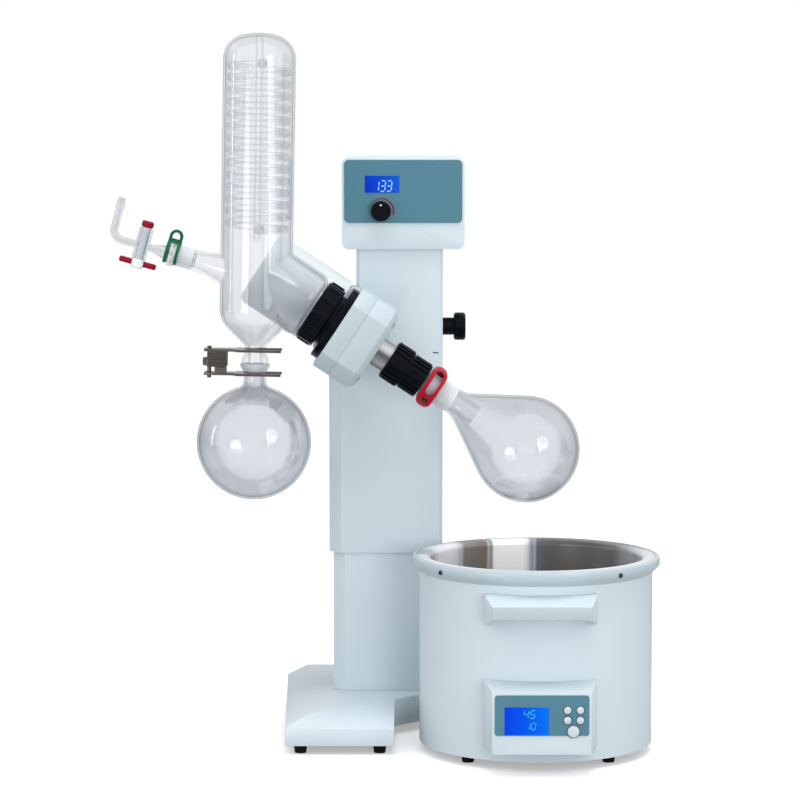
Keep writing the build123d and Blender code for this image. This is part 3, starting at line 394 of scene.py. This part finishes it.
def lathe(name, outline, place, finish, body, steps, sharp=35):
    # closed outline of (radius, height) spun round the local z axis
    work = bmesh.new()
    rings = []
    for radius, height in outline:
        if radius < 1e-7:
            rings.append([work.verts.new((0, 0, height))] * steps)
        else:
            turns = (2 * math.pi * i / steps for i in range(steps))
            rings.append([work.verts.new((radius * math.cos(t), radius * math.sin(t), height)) for t in turns])
    for low, high in zip(rings, rings[1:] + rings[:1]):
        for i in range(steps):
            j = (i + 1) % steps
            corners = []
            for vert in (low[i], low[j], high[j], high[i]):
                if vert not in corners:
                    corners.append(vert)
            if len(corners) > 2:
                work.faces.new(corners)
    bmesh.ops.recalc_face_normals(work, faces=work.faces)
    mesh = bpy.data.meshes.new(name)
    work.to_mesh(mesh)
    work.free()
    mesh.transform(place)
    smoothed(mesh, sharp)
    return linked(name, mesh, finish, body)


class Growth(Nodes):  # a Geometry Nodes tree with named sizes, turned into a plain mesh
    def __init__(self, name, **sizes):
        super().__init__(bpy.data.node_groups.new(name, "GeometryNodeTree"))
        self.name, self.sizes, self.ports = name, sizes, {}
        kinds = {int: "NodeSocketInt", float: "NodeSocketFloat", Vector: "NodeSocketVector"}
        for key, value in sizes.items():
            port = self.tree.interface.new_socket(key, in_out="INPUT", socket_type=kinds[type(value)])
            self.ports[key] = port.identifier
        self.tree.interface.new_socket("Geometry", in_out="OUTPUT", socket_type="NodeSocketGeometry")
        self.entry = self.make("NodeGroupInput")

    def size(self, key):
        return Sock(self.tree, self.entry.outputs[key])

    def grown(self, geometry, finish):
        real = self.make("GeometryNodeRealizeInstances", None, Geometry=geometry).outputs[0]
        finished = self.make("GeometryNodeSetMaterial", None, Geometry=real, Material=finish).outputs[0]
        self.make("NodeGroupOutput", None, Geometry=finished)
        bed = bpy.data.objects.new(self.name, bpy.data.meshes.new(self.name))
        bpy.context.scene.collection.objects.link(bed)
        layer = bed.modifiers.new("grow", "NODES")
        layer.node_group = self.tree
        for key, value in self.sizes.items():
            layer[self.ports[key]] = value
        bpy.context.view_layer.update()
        mesh = bpy.data.meshes.new_from_object(bed.evaluated_get(bpy.context.evaluated_depsgraph_get()))
        bed.modifiers.remove(layer)
        bpy.data.objects.remove(bed)
        return mesh


def repeated(name, item, place, finish, body, slot, count, **moves):
    # copies of one small item along a row or round an axis, each turned a little by a seeded chance;
    # moves may give the step and the turn from one copy to the next, the first one's turn, and how loose they sit
    step, turn, start, loose = (Vector(moves.get(key, (0, 0, 0))) for key in ("step", "turn", "start", "loose"))
    tree = Growth(name, Count=count, Step=step, Turn=turn, Start=start, Loose=loose, Seed=7)
    line = tree.make("GeometryNodeMeshLine", {"mode": "OFFSET"}, Count=tree.size("Count"), Offset=tree.size("Step"))
    index = tree.make("GeometryNodeInputIndex").outputs[0]
    spin = tree.make("ShaderNodeVectorMath", {"operation": "SCALE"}, i0=tree.size("Turn"), Scale=index).outputs[0]
    spin = tree.make("ShaderNodeVectorMath", {"operation": "ADD"}, i0=spin, i1=tree.size("Start")).outputs[0]
    chance = tree.make(
        "FunctionNodeRandomValue", {"data_type": "FLOAT_VECTOR"}, i0=(-1, -1, -1), i1=(1, 1, 1), Seed=tree.size("Seed"),
    ).outputs[0]
    slack = tree.make("ShaderNodeVectorMath", {"operation": "MULTIPLY"}, i0=chance, i1=tree.size("Loose")).outputs[0]
    spin = tree.make("ShaderNodeVectorMath", {"operation": "ADD"}, i0=spin, i1=slack).outputs[0]
    source = tree.make("GeometryNodeObjectInfo", None, Object=item).outputs["Geometry"]
    copies = tree.make("GeometryNodeInstanceOnPoints", None, Points=line.outputs[0], Instance=source, Rotation=spin)
    mesh = tree.grown(copies.outputs[0], finish)
    bpy.data.objects.remove(item)
    mesh.transform(place)
    smoothed(mesh, 35)
    return linked(name, mesh, None, body)


def itemOf(shape, place=Matrix.Identity(4), scale=(1, 1, 1), round=0.0):
    # one small solid in millimetres: a spun outline, or a box of the given sizes
    work = bmesh.new()
    if shape:
        steps = 24
        turns = [math.tau * k / steps for k in range(steps)]
        rings = [[work.verts.new((r * math.cos(t), r * math.sin(t), h)) for t in turns] for r, h in shape]
        for low, high in zip(rings, rings[1:]):
            for k in range(steps):
                work.faces.new((low[k - 1], low[k], high[k], high[k - 1]))
        work.faces.new(rings[0][::-1])
        work.faces.new(rings[-1])
    else:
        bmesh.ops.create_cube(work, size=1.0)
        bmesh.ops.scale(work, vec=scale, verts=work.verts)
        if round:
            bmesh.ops.bevel(work, geom=work.edges[:], offset=round, segments=2, profile=0.5, affect="EDGES")
    bmesh.ops.recalc_face_normals(work, faces=work.faces)
    mesh = bpy.data.meshes.new("item")
    work.to_mesh(mesh)
    work.free()
    mesh.transform(place)
    item = bpy.data.objects.new("item", mesh)
    bpy.context.scene.collection.objects.link(item)
    return item


def screwHead(radius, height, place=Matrix.Identity(4)):
    # domed head with a round socket in it
    socket = 0.5 * radius
    return itemOf([
        (radius * 0.96, 0), (radius, height * 0.4), (radius * 0.86, height * 0.82), (radius * 0.62, height),
        (socket, height), (socket, height * 0.25), (socket * 0.9, height * 0.2),
    ], place)


def sweepArc(centre, radius, start, end, count):
    turns = (math.radians(start + (end - start) * i / count) for i in range(count + 1))
    return [(centre[0] + radius * math.cos(t), centre[1] + radius * math.sin(t)) for t in turns]


def zoned(piece, place, finish, *spans, reach=500):
    # a stretch between two heights of the given place, near its axis, is cut out of the skin and takes a second finish
    back = place.inverted()
    work = bmesh.new()
    work.from_mesh(piece.data)
    for height in (h for span in spans for h in span):
        middles = ((f, back @ f.calc_center_median()) for f in work.faces)
        near = [f for f, at in middles if math.hypot(at.x, at.y) < reach]
        parts = set(near) | {e for f in near for e in f.edges} | {v for f in near for v in f.verts}
        bmesh.ops.bisect_plane(
            work, geom=list(parts), plane_co=place @ Vector((0, 0, height)), plane_no=place.col[2].xyz.normalized(),
            dist=1e-7,
        )
    piece.data.materials.append(finish)
    for face in work.faces:
        at = back @ face.calc_center_median()
        if math.hypot(at.x, at.y) < reach and any(low < at.z < high for low, high in spans):
            face.material_index = len(piece.data.materials) - 1
    work.to_mesh(piece.data)
    work.free()


print("mesh helpers ready")


# Places in the drawing's millimetres, turned into the shared frame
def spot(x, y, z):
    return Vector((x - origin[0], y - origin[1], z - origin[2])) / 1000


def axes(start, xAxis, zAxis):
    z = Vector(zAxis).normalized()
    y = z.cross(Vector(xAxis)).normalized()
    turn = Matrix((y.cross(z), y, z)).transposed().to_4x4()
    return Matrix.Translation(start) @ turn @ Matrix.Scale(0.001, 4)


def leaning(degrees):
    # the along and the up direction of something that leans that much in the front view
    lean = math.radians(degrees)
    return Vector((math.cos(lean), 0, -math.sin(lean))), Vector((math.sin(lean), 0, math.cos(lean)))


origin = (-16.7327, 116.25, 0.0)  # the shared frame's origin in the drawing
driveDir, driveUp = leaning(33.5)
glassDir, glassUp = leaning(1.1)
armDir, armUp = leaning(15.5)
drive = axes(spot(-79, 49, 525), driveUp, driveDir)
glass = axes(drive @ Vector((0, 0, -115)), glassDir, glassUp)
arm = axes(spot(-277.3, 49, 609.3), armUp, -armDir)
bathAt = {"middle": 167, "back": 49, "handleShadeSpan": -129, "handleHeight": 195, "panelFront": -131, "panelLow": 51}
bath = axes(spot(bathAt["middle"], bathAt["back"], 0), (1, 0, 0), (0, 0, 1))
handleFace = axes(spot(bathAt["middle"], bathAt["handleShadeSpan"], bathAt["handleHeight"]), (1, 0, 0), (0, -1, 0))

# Painted sheet and castings, plastics, metals: smooth copies of the modelled pieces
# its stops are painted reflections round the spindle's axis, a reddish one among them
steelTube = bandedFinish("turned_steel", drive, [
    (0.0, tone(60, 52, 50)), (0.1, tone(134, 112, 110)), (0.15, tone(84, 70, 70)), (0.165, tone(255, 255, 255)),
    (0.215, tone(255, 255, 255)), (0.23, tone(52, 52, 54)), (0.29, tone(80, 82, 84)), (0.37, tone(196, 202, 196)),
    (0.42, tone(186, 188, 184)), (0.47, tone(60, 60, 60)), (0.54, tone(150, 150, 150)), (0.66, tone(230, 230, 230)),
    (0.74, tone(96, 98, 100)), (0.86, tone(200, 200, 202)), (0.94, tone(110, 108, 106)),
])
plain = {
    "base_shell": paint, "inner_column": paint, "sleeve": paint, "head_box": paint, "bath_shell": paint,
    "bath_rim": shadedPaint, "bath_handle": paint, "bath_control_box": paint, "gearbox_case_left": shadedPaint,
    "gearbox_case_right": shadedPaint, "gearbox_rear_case": shadedPaint, "motor_cover": motorPaint,
    "base_bottom_plate": innerSteel, "bath_floor": innerSteel, "base_feet": rubber, "bath_feet": rubber,
    "lift_actuator_tube": innerSteel, "lift_actuator_rod": innerSteel, "guide_pads": whitePlastic,
    "tilt_bush": bronze, "tilt_lock_knob": black, "head_panel": teal, "speed_display": headBlue,
    "speed_knob": black, "bath_panel": teal, "bath_display": bathBlue,
    "bath_heater": innerSteel, "bath_temperature_probe": innerSteel, "pivot_shaft": innerSteel,
    "spindle_bearings": innerSteel, "motor": innerSteel, "motor_shaft": innerSteel, "motor_pulley": innerSteel,
    "driven_pulley": innerSteel, "drive_belt": rubber, "flange_ring": black, "vacuum_seal": rubber,
    "flange_nut": black, "ejector_nut": black, "spindle": steelTube, "side_clip": greenPlastic,
    "flask_clip": redPlastic, "stopcock_plug": whitePlastic, "stopcock_handle": wineRed, "bath_pot": potSteel,
    "clamp_fork_upper": clampSteel, "clamp_fork_lower": clampSteel, "clamp_screw": clampSteel,
    "condenser_jacket": jacketGlass, "stopcock_body": clearGlass,
}
edgeRound = {
    "base_shell": 0.0012, "inner_column": 0.0008, "sleeve": 0.0008, "bath_handle": 0.0007, "bath_control_box": 0.0007,
    "gearbox_case_left": 0.0007, "gearbox_case_right": 0.0007, "gearbox_rear_case": 0.0007, "head_box": 0.0006,
    "clamp_fork_upper": 0.0003, "clamp_fork_lower": 0.0003,
}
skins = {node: dressed(node, finish, round=edgeRound.get(node, 0.0)) for node, finish in plain.items()}
groundCone = {"span": (-26, -1), "reach": 22}  # of the side arm's joint
zoned(skins["condenser_jacket"], arm, frost, groundCone["span"], reach=groundCone["reach"])
handleShadeSpan = (-1.2, 0.5)  # painted shade: the front face alone takes the darker shaded paint, a shade darker than its sides
zoned(skins["bath_handle"], handleFace, shadedPaint, handleShadeSpan)
print("plain pieces dressed")


# Blown glass
def ballOutline(mouth, neck, neckRadius, flare, centre, radius):
    # the outer line of a round flask: neck, hollow flare, straight shoulder, ball
    hub = (neckRadius + flare, neck)
    reach = math.hypot(hub[0], hub[1] - centre)
    turn = math.degrees(math.atan2(hub[1] - centre, hub[0]) + math.acos((radius + flare) / reach))
    line = [(neckRadius, mouth)] + sweepArc(hub, flare, 180, 180 + turn, 14)
    ball = sweepArc((0, centre), radius, turn, 90, 40)
    return line + ball[:-1] + [(0, centre + radius)]


def blown(size):
    # the outer line and the inner line of a flask with one wall thickness
    return (
        ballOutline(
            size["mouth"], size["neck"], size["neckRadius"] - less, size["flare"] + less, size["centre"],
            size["radius"] - less,
        )
        for less in (0, size["wall"])
    )


flask = {
    "mouth": 131, "neck": 172, "neckRadius": 16.5, "flare": 30, "centre": 280, "radius": 65.5, "wall": 2.5,
    "bead": [(17.6, 131), (18.8, 131.6), (19, 133.5), (18.8, 135.4), (17.6, 136.4), (16.5, 137.5)],
    "ground": (131, 171.5), "steps": 128,
}
outer, inner = blown(flask)
line = inner[:1] + flask["bead"] + outer[1:] + inner[:0:-1]
flaskSkin = lathe("evaporating_flask_skin", line, drive, clearGlass, "rotating_line", flask["steps"])
zoned(flaskSkin, drive, frost, flask["ground"])
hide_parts("evaporating_flask")

duct = {
    "line": [
        (10.5, -22), (12.5, -22), (12.5, 127), (13.95, 131), (13.95, 163), (12.5, 167), (12.5, 204), (12, 205),
        (11, 205), (10.5, 204),
    ],
    "ground": (130, 164), "steps": 72,
}
ductSkin = lathe("vapour_duct_skin", duct["line"], drive, jacketGlass, "rotating_line", duct["steps"])
zoned(ductSkin, drive, frost, duct["ground"])
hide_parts("vapour_duct")

receiver = {
    "mouth": 0, "neckRadius": 13.5, "flare": 8, "centre": 209.6, "radius": 70, "wall": 2.5, "ball": 110,
    "cup": 18.7, "seat": 16.1, "ground": (112, 122.5), "steps": 128,
}
neckRun = math.sqrt(
    (receiver["radius"] + receiver["flare"]) ** 2 - (receiver["neckRadius"] + receiver["flare"]) ** 2
) + 0.5
receiver["neck"] = receiver["centre"] - neckRun
turnedOver = glass @ Matrix.Rotation(math.pi, 4, "X")
outer, inner = blown(receiver)
cup = sweepArc((0, receiver["ball"]), receiver["cup"], 9.2, 43.8, 10)
seat = sweepArc((0, receiver["ball"]), receiver["seat"], 47, 10.7, 10)
line = cup + outer[1:] + inner[:0:-1] + seat
receiverSkin = lathe("receiver_flask_skin", line, turnedOver, clearGlass, "drive_head", receiver["steps"])
zoned(receiverSkin, turnedOver, frost, receiver["ground"])
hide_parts("receiver_flask")
print("flasks blown")


def tubeAlong(name, path, radius, finish, body, sides):
    # round closed rod swept along a list of places with a frame that doesn't twist
    work = bmesh.new()
    rings = []
    normal = None
    for i, place in enumerate(path):
        ahead = (path[min(i + 1, len(path) - 1)] - path[max(i - 1, 0)]).normalized()
        if normal is None:
            normal = ahead.orthogonal()
        normal = (normal - ahead * normal.dot(ahead)).normalized()
        side = ahead.cross(normal)
        turns = (math.tau * k / sides for k in range(sides))
        rings.append([work.verts.new(place + (normal * math.cos(t) + side * math.sin(t)) * radius) for t in turns])
    for low, high in zip(rings, rings[1:]):
        for k in range(sides):
            work.faces.new((low[k], low[(k + 1) % sides], high[(k + 1) % sides], high[k]))
    work.faces.new(rings[0][::-1])
    work.faces.new(rings[-1])
    mesh = bpy.data.meshes.new(name)
    work.to_mesh(mesh)
    work.free()
    smoothed(mesh, 40)
    return linked(name, mesh, finish, body)


# Cooling coil: one long rising tube that comes in and goes out at the back, with a core tube down its middle
coil = {
    "radius": 34.5, "tube": 4.5, "pitch": 14.6, "turns": 14, "low": 48, "steps": 44, "sides": 16,
    "stub": (33.5, 38, 41.2), "stubRadius": 4.0,
    "core": 4.6, "coreTip": 35.4, "top": 285.8, "bore": 3.2,
    "link": 33, "linkRadius": 3.4, "linkSag": 1.2,
}
tree = Growth(
    "winding", Turns=float(coil["turns"]), Radius=float(coil["radius"]), Rise=coil["pitch"] * coil["turns"],
    Tube=float(coil["tube"]), Steps=coil["steps"], Sides=coil["sides"],
)
spiral = tree.make(
    "GeometryNodeCurveSpiral", None, Resolution=tree.size("Steps"), Rotations=tree.size("Turns"),
    Height=tree.size("Rise"), Start_Radius=tree.size("Radius"), End_Radius=tree.size("Radius"),
)
ring = tree.make("GeometryNodeCurvePrimitiveCircle", None, Resolution=tree.size("Sides"), Radius=tree.size("Tube"))
swept = tree.make("GeometryNodeCurveToMesh", None, Curve=spiral.outputs[0], i1=ring.outputs[0])
swept.inputs["Fill Caps"].default_value = True
winding = tree.grown(swept.outputs[0], coilGlass)
lead = sum((v.co for v in winding.vertices[:coil["sides"]]), Vector()) / coil["sides"]  # where the wire starts
toBack = Matrix.Rotation(math.pi / 2 - math.atan2(lead.y, lead.x), 4, "Z")
winding.transform(glass @ Matrix.Translation((0, 0, coil["low"])) @ toBack)
smoothed(winding, 40)
coilSkin = linked("condenser_coil_skin", winding, None, "drive_head")
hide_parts("condenser_coil")
# short stubs lead from the ends of the winding to the nozzles in the wall
for end in (0, coil["turns"]):
    rise = coil["low"] + coil["pitch"] * end
    stub = [glass @ Vector((0, y, rise)) for y in coil["stub"]]
    tubeAlong("coil_stub", stub, coil["stubRadius"] / 1000, coilGlass, "drive_head", coil["sides"])
core = [
    (0, coil["coreTip"]), (2.5, 36.2), (coil["core"], 40), (coil["core"], coil["top"]), (coil["bore"], coil["top"]),
    (coil["bore"], 41), (0, 39),
]
lathe("coil_core", core, glass, coilGlass, "drive_head", 32)
bend = [
    glass @ Vector((0, 1.5 + coil["link"] * t, coil["low"] + coil["linkSag"] * math.sin(math.pi * t)))
    for t in (i / 10 for i in range(11))
]
tubeAlong("coil_link", bend, coil["linkRadius"] / 1000, coilGlass, "drive_head", coil["sides"])
print("coil wound")


# Figures on the two displays: seven bar signs as thin plates just proud of the window
bars = {
    "a": ((0.1, 1.0), (0.9, 1.0)), "b": ((1.0, 0.92), (1.0, 0.55)), "c": ((1.0, 0.45), (1.0, 0.08)),
    "d": ((0.1, 0.0), (0.9, 0.0)), "e": ((0.0, 0.45), (0.0, 0.08)), "f": ((0.0, 0.92), (0.0, 0.55)),
    "g": ((0.1, 0.5), (0.9, 0.5)),
}
signs = {"0": "abcdef", "1": "bc", "3": "abcdg", "4": "fgbc", "5": "afgcd"}


def figures(name, text, left, low, size, gap, lean, front, stroke, body, slot, finish):
    # size is the width and height of one sign in millimetres, lean its slant to the right
    work = bmesh.new()
    for i, letter in enumerate(text):
        for bar in signs.get(letter, ""):
            start, end = (
                Vector((left + i * (size[0] + gap) + u * size[0] + v * lean, low + v * size[1])) for u, v in bars[bar]
            )
            ahead = (end - start).normalized()
            side = Vector((-ahead.y, ahead.x)) * stroke / 2
            tip = ahead * stroke / 2
            ring = [
                start - tip * 0.4, start + side + tip, end + side - tip, end + tip * 0.4, end - side - tip,
                start - side + tip,
            ]
            face, back = ([work.verts.new(spot(c.x, front + depth, c.y)) for c in ring] for depth in (0.0, 0.25))
            work.faces.new(face)
            work.faces.new(back[::-1])
            for k in range(6):
                work.faces.new((face[k - 1], face[k], back[k], back[k - 1]))
    bmesh.ops.recalc_face_normals(work, faces=work.faces)
    mesh = bpy.data.meshes.new(name)
    work.to_mesh(mesh)
    work.free()
    return linked(name, mesh, finish, body)


showing = {
    "head_figures": {
        "text": "133", "left": -33.2, "low": 682.8, "size": (5.9, 13.0), "gap": 2.1, "lean": 1.5, "front": 164.3,
        "stroke": 1.35, "body": "carriage", "slot": slotOf["speed_display"], "finish": lcdMark,
    },
    "bath_figures_high": {
        "text": "45", "left": 145.2, "low": 72.0, "size": (5.2, 9.2), "gap": 2.2, "lean": 1.2, "front": -131.6,
        "stroke": 1.3, "body": "root", "slot": slotOf["bath_display"], "finish": lcdCyan,
    },
    "bath_figures_low": {
        "text": "10", "left": 147.6, "low": 58.5, "size": (4.6, 8.0), "gap": 2.0, "lean": 1.0, "front": -131.6,
        "stroke": 1.2, "body": "root", "slot": slotOf["bath_display"], "finish": lcdCyan,
    },
}
for name, settings in showing.items():
    figures(name, **settings)

# Speed scale printed round the knob: a wine red crescent that widens clockwise
knobAt = (-24, 658)
scale = {"reach": 15.0, "least": 0.3, "grows": 1.9, "start": 163, "sweep": 180, "steps": 60, "depths": (164.88, 165.1)}
inner, outer = [], []
for i in range(scale["steps"] + 1):
    share = i / scale["steps"]
    turn = math.radians(scale["start"] - scale["sweep"] * share)
    far = scale["reach"] + scale["least"] + scale["grows"] * share ** 0.8
    for line, reach in ((inner, scale["reach"]), (outer, far)):
        line.append((knobAt[0] + reach * math.cos(turn), knobAt[1] + reach * math.sin(turn)))
mesh = bpy.data.meshes.new("speed_scale")
corners = [spot(x, depth, z) for depth in scale["depths"] for x, z in inner + outer]
n = len(inner)
faces = []
for i in range(n - 1):
    faces += [(i, i + 1, i + n + 1, i + n), (i + 2 * n, i + 3 * n, i + 3 * n + 1, i + 2 * n + 1)]
    faces += [(i, i + 2 * n, i + 2 * n + 1, i + 1), (i + n, i + n + 1, i + 3 * n + 1, i + 3 * n)]
faces += [(0, n, 3 * n, 2 * n), (n - 1, 3 * n - 1, 4 * n - 1, 2 * n - 1)]
mesh.from_pydata(corners, [], faces)
linked("speed_scale", mesh, wineRed, "carriage")
print("displays lettered")


# Keys of the bath: domed caps over a dark seam; each has its place on the panel and its radius
keys = {
    "button_up": (30, 30.5, 4.5), "button_down": (45, 30.5, 4.5), "button_set": (30, 18.5, 4.5),
    "button_mode": (45, 18.5, 4.5), "power_button": (37, 5, 7.0),
}
keyShape = {"ledge": 2, "depth": 6, "rise": 0.9, "dome": [(0.82, 2.02), (0.6, 2.32), (0.3, 2.47), (0, 2.5)]}
for name, (x, z, r) in keys.items():
    at = axes(spot(bathAt["middle"] + x, bathAt["panelFront"], bathAt["panelLow"] + z), (1, 0, 0), (0, -1, 0))
    stem, ledge, depth = r - keyShape["ledge"], -keyShape["ledge"], -keyShape["depth"]
    cap = [(0, depth), (stem, depth), (stem, ledge), (r, ledge), (r, keyShape["rise"]), (r - 0.3, 1.5)]
    cap += [(r * share, height) for share, height in keyShape["dome"]]
    key = lathe(name + "_skin", cap, at, silver, bodyOf[name], 48, 30)
    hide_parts(name)
    seam = [(r + 0.12, -0.3), (r + 0.75, -0.3), (r + 0.75, 0.06), (r + 0.12, 0.06)]
    lathe(name + "_seam", seam, at, rubber, "root", 48)

# Small fittings: knob ribs and dot, socket screws, black plates as painted shade for the vents at the back of the head
# and a slot in the neck
knob = {
    "ribs": 28, "ribOut": 12.35, "rib": (0.9, 0.9, 11.4), "dotOut": 7.6, "dot": [(1.15, 0), (1.15, 0.12), (0.9, 0.2)],
}
knobFace = axes(spot(knobAt[0], 165, knobAt[1]), (1, 0, 0), (0, -1, 0))
rib = itemOf(None, Matrix.Translation((knob["ribOut"], 0, 8.2)), knob["rib"], 0.25)
ribTurn = (0, 0, math.tau / knob["ribs"])
repeated("knob_ribs", rib, knobFace, black, "speed_dial", slotOf["speed_knob"], knob["ribs"], turn=ribTurn)
dot = itemOf(knob["dot"], Matrix.Translation((0, knob["dotOut"], 15.95)))
repeated("knob_dot", dot, knobFace, whitePlastic, "speed_dial", slotOf["stopcock_plug"], 1)

rimScrew = {"radius": 3.2, "height": 1.65, "out": 151.9, "level": 232, "count": 4, "first": -141}
outward = Matrix.Translation((rimScrew["out"], 0, rimScrew["level"])) @ Matrix.Rotation(math.pi / 2, 4, "Y")
rimScrews = repeated(
    "rim_screws_skin", screwHead(rimScrew["radius"], rimScrew["height"], outward), bath, screwSteel, "root",
    slotOf["rim_screws"], rimScrew["count"], turn=(0, 0, math.tau / rimScrew["count"]),
    start=(0, 0, math.radians(rimScrew["first"])),
)
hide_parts("rim_screws")

caseScrew = {"radius": 3.6, "height": 0.5, "out": 54, "along": 60, "count": 4}
repeated(
    "gearbox_screws",
    screwHead(caseScrew["radius"], caseScrew["height"], Matrix.Translation((caseScrew["out"], 0, caseScrew["along"]))),
    drive, screwSteel, "drive_head", slotOf["rim_screws"], caseScrew["count"],
    turn=(0, 0, math.tau / caseScrew["count"]), start=(0, 0, math.pi / 4),
)

headBack = axes(spot(4, 313.05, 667.5), (-1, 0, 0), (0, 1, 0))
headScrew = {"radius": 3.0, "height": 1.4, "out": 65, "rows": (-45, 45), "loose": 0.5}
for row in headScrew["rows"]:
    repeated(
        "head_screws", screwHead(headScrew["radius"], headScrew["height"]),
        headBack @ Matrix.Translation((-headScrew["out"], row, 0)), screwSteel, "carriage", slotOf["rim_screws"], 2,
        step=(2 * headScrew["out"], 0, 0), loose=(0, 0, headScrew["loose"]),
    )

# painted shade: thin black plates on the back of the head stand for the shaded openings of the vents
vent = {"size": (2.6, 34, 0.3), "count": 13, "pitch": 6, "first": (-36, -8, 0.1)}
repeated(
    "head_vents", itemOf(None, scale=vent["size"], round=0.1), headBack @ Matrix.Translation(vent["first"]), black,
    "carriage", slotOf["speed_knob"], vent["count"], step=(vent["pitch"], 0, 0),
)

neckSlot = {"place": (45, 174.95, 479), "size": (7.2, 1.3, 0.3), "slant": -6}
# painted shade: a thin black plate on the neck stands for the shaded hollow of a slot
slotShade = itemOf(None, Matrix.Rotation(math.radians(neckSlot["slant"]), 4, "Z"), neckSlot["size"], 0.1)
neckFace = axes(spot(*neckSlot["place"]), (1, 0, 0), (0, -1, 0))
repeated("neck_slot", slotShade, neckFace, black, "carriage", slotOf["speed_knob"], 1)
print("fittings made")


# Light: soft lamps and a room that the camera sees as plain white; reflections see a studio of
# bright strips and grey gaps, whose reflections lie over the bands painted into the pot and the turned tube
def lamp(name, place, size, power, mirrored):
    # an area lamp that looks at the machine: round, or a tall strip where a width and a height are given
    light = bpy.data.objects.new(name, bpy.data.lights.new(name, "AREA"))
    bpy.context.scene.collection.objects.link(light)
    if isinstance(size, tuple):
        light.data.shape = "RECTANGLE"
        light.data.size, light.data.size_y = size
    else:
        light.data.shape = "DISK"
        light.data.size = size
    light.data.energy = power
    light.location = place
    light.rotation_euler = (Vector((0, 0, 0.4)) - Vector(place)).to_track_quat("-Z", "Y").to_euler()
    light.visible_glossy = mirrored


lamps = {
    "key_lamp": {"place": (1.9, -2.5, 1.35), "size": 1.5, "power": 10, "mirrored": True},
    "left_lamp": {"place": (-1.9, -2.6, 0.32), "size": 1.2, "power": 11, "mirrored": True},
    "front_lamp": {"place": (1.2, -4.2, 0.55), "size": 1.2, "power": 42, "mirrored": False},
    "side_lamp": {"place": (-2.3, -1.7, 1.9), "size": 0.8, "power": 6, "mirrored": False},
    "top_lamp": {"place": (0.2, -0.3, 2.8), "size": 1.6, "power": 30, "mirrored": False},
    "right_strip": {"place": (1.45, -2.6, 1.0), "size": (0.1, 1.5), "power": 2.5, "mirrored": True},
    "left_strip": {"place": (-3.2, 0.2, 0.9), "size": (0.14, 1.6), "power": 2.5, "mirrored": True},
}
for name, settings in lamps.items():
    lamp(name, **settings)
world = bpy.data.worlds.new("room")
bpy.context.scene.world = world
world.use_nodes = True
room = Nodes(world.node_tree)
split = room.make("ShaderNodeSeparateXYZ", None, Vector=room.make("ShaderNodeTexCoord").outputs["Generated"])
across, along, height = (Sock(room.tree, split.outputs[i]) for i in range(3))
soft = room.ramp(
    height * 0.5 + 0.5, (0.0, tone(110, 114, 120)), (0.42, tone(150, 154, 160)), (0.55, tone(206, 209, 213)),
    (1.0, tone(252, 253, 254)),
)
bearing = across.math("ARCTAN2", along * -1) * (0.5 / math.pi) + 0.5
strips = room.ramp(
    bearing, (0.0, tone(190, 192, 195)), (0.22, tone(168, 170, 174)), (0.3, tone(245, 246, 248)),
    (0.36, tone(140, 143, 150)), (0.43, tone(128, 131, 138)), (0.455, tone(255, 255, 255)), (0.53, tone(255, 255, 255)),
    (0.56, tone(138, 141, 150)), (0.63, tone(160, 162, 165)), (0.69, tone(225, 226, 228)), (0.75, tone(160, 162, 166)),
    (0.83, tone(205, 207, 210)), (1.0, tone(190, 192, 195)),
)
upper = (height * 2.2).clamped()
studio = room.blend(upper, strips, tone(252, 253, 254))
paths = room.make("ShaderNodeLightPath")
sight = room.blend(Sock(room.tree, paths.outputs["Is Glossy Ray"]), soft, studio)
sight = room.blend(Sock(room.tree, paths.outputs["Is Camera Ray"]), sight, (1, 1, 1, 1))
ground = room.make("ShaderNodeBackground", None, Color=sight)
room.make("ShaderNodeOutputWorld", None, Surface=ground.outputs[0])

# Floor: white, it keeps the soft contact shadow
mesh = bpy.data.meshes.new("floor")
mesh.from_pydata([(-4, -4, 0), (4, -4, 0), (4, 5, 0), (-4, 5, 0)], [], [(0, 1, 2, 3)])
floor = bpy.data.objects.new("floor", mesh)
bpy.context.scene.collection.objects.link(floor)
f = Finish("floor_white")
seen = Sock(f.tree, f.make("ShaderNodeLightPath").outputs["Is Camera Ray"])
shadow = f.make("ShaderNodeBsdfDiffuse", None, Color=f.blend(seen, (0.42, 0.43, 0.44, 1), (0.9, 0.9, 0.9, 1)))
glow = f.make("ShaderNodeEmission", None, Color=(1, 1, 1, 1), Strength=seen * 0.3 + 0.05)
add = f.make("ShaderNodeAddShader", None, i0=shadow.outputs[0], i1=glow.outputs[0])
mesh.materials.append(f.shown(add.outputs[0]))
print("room lit")
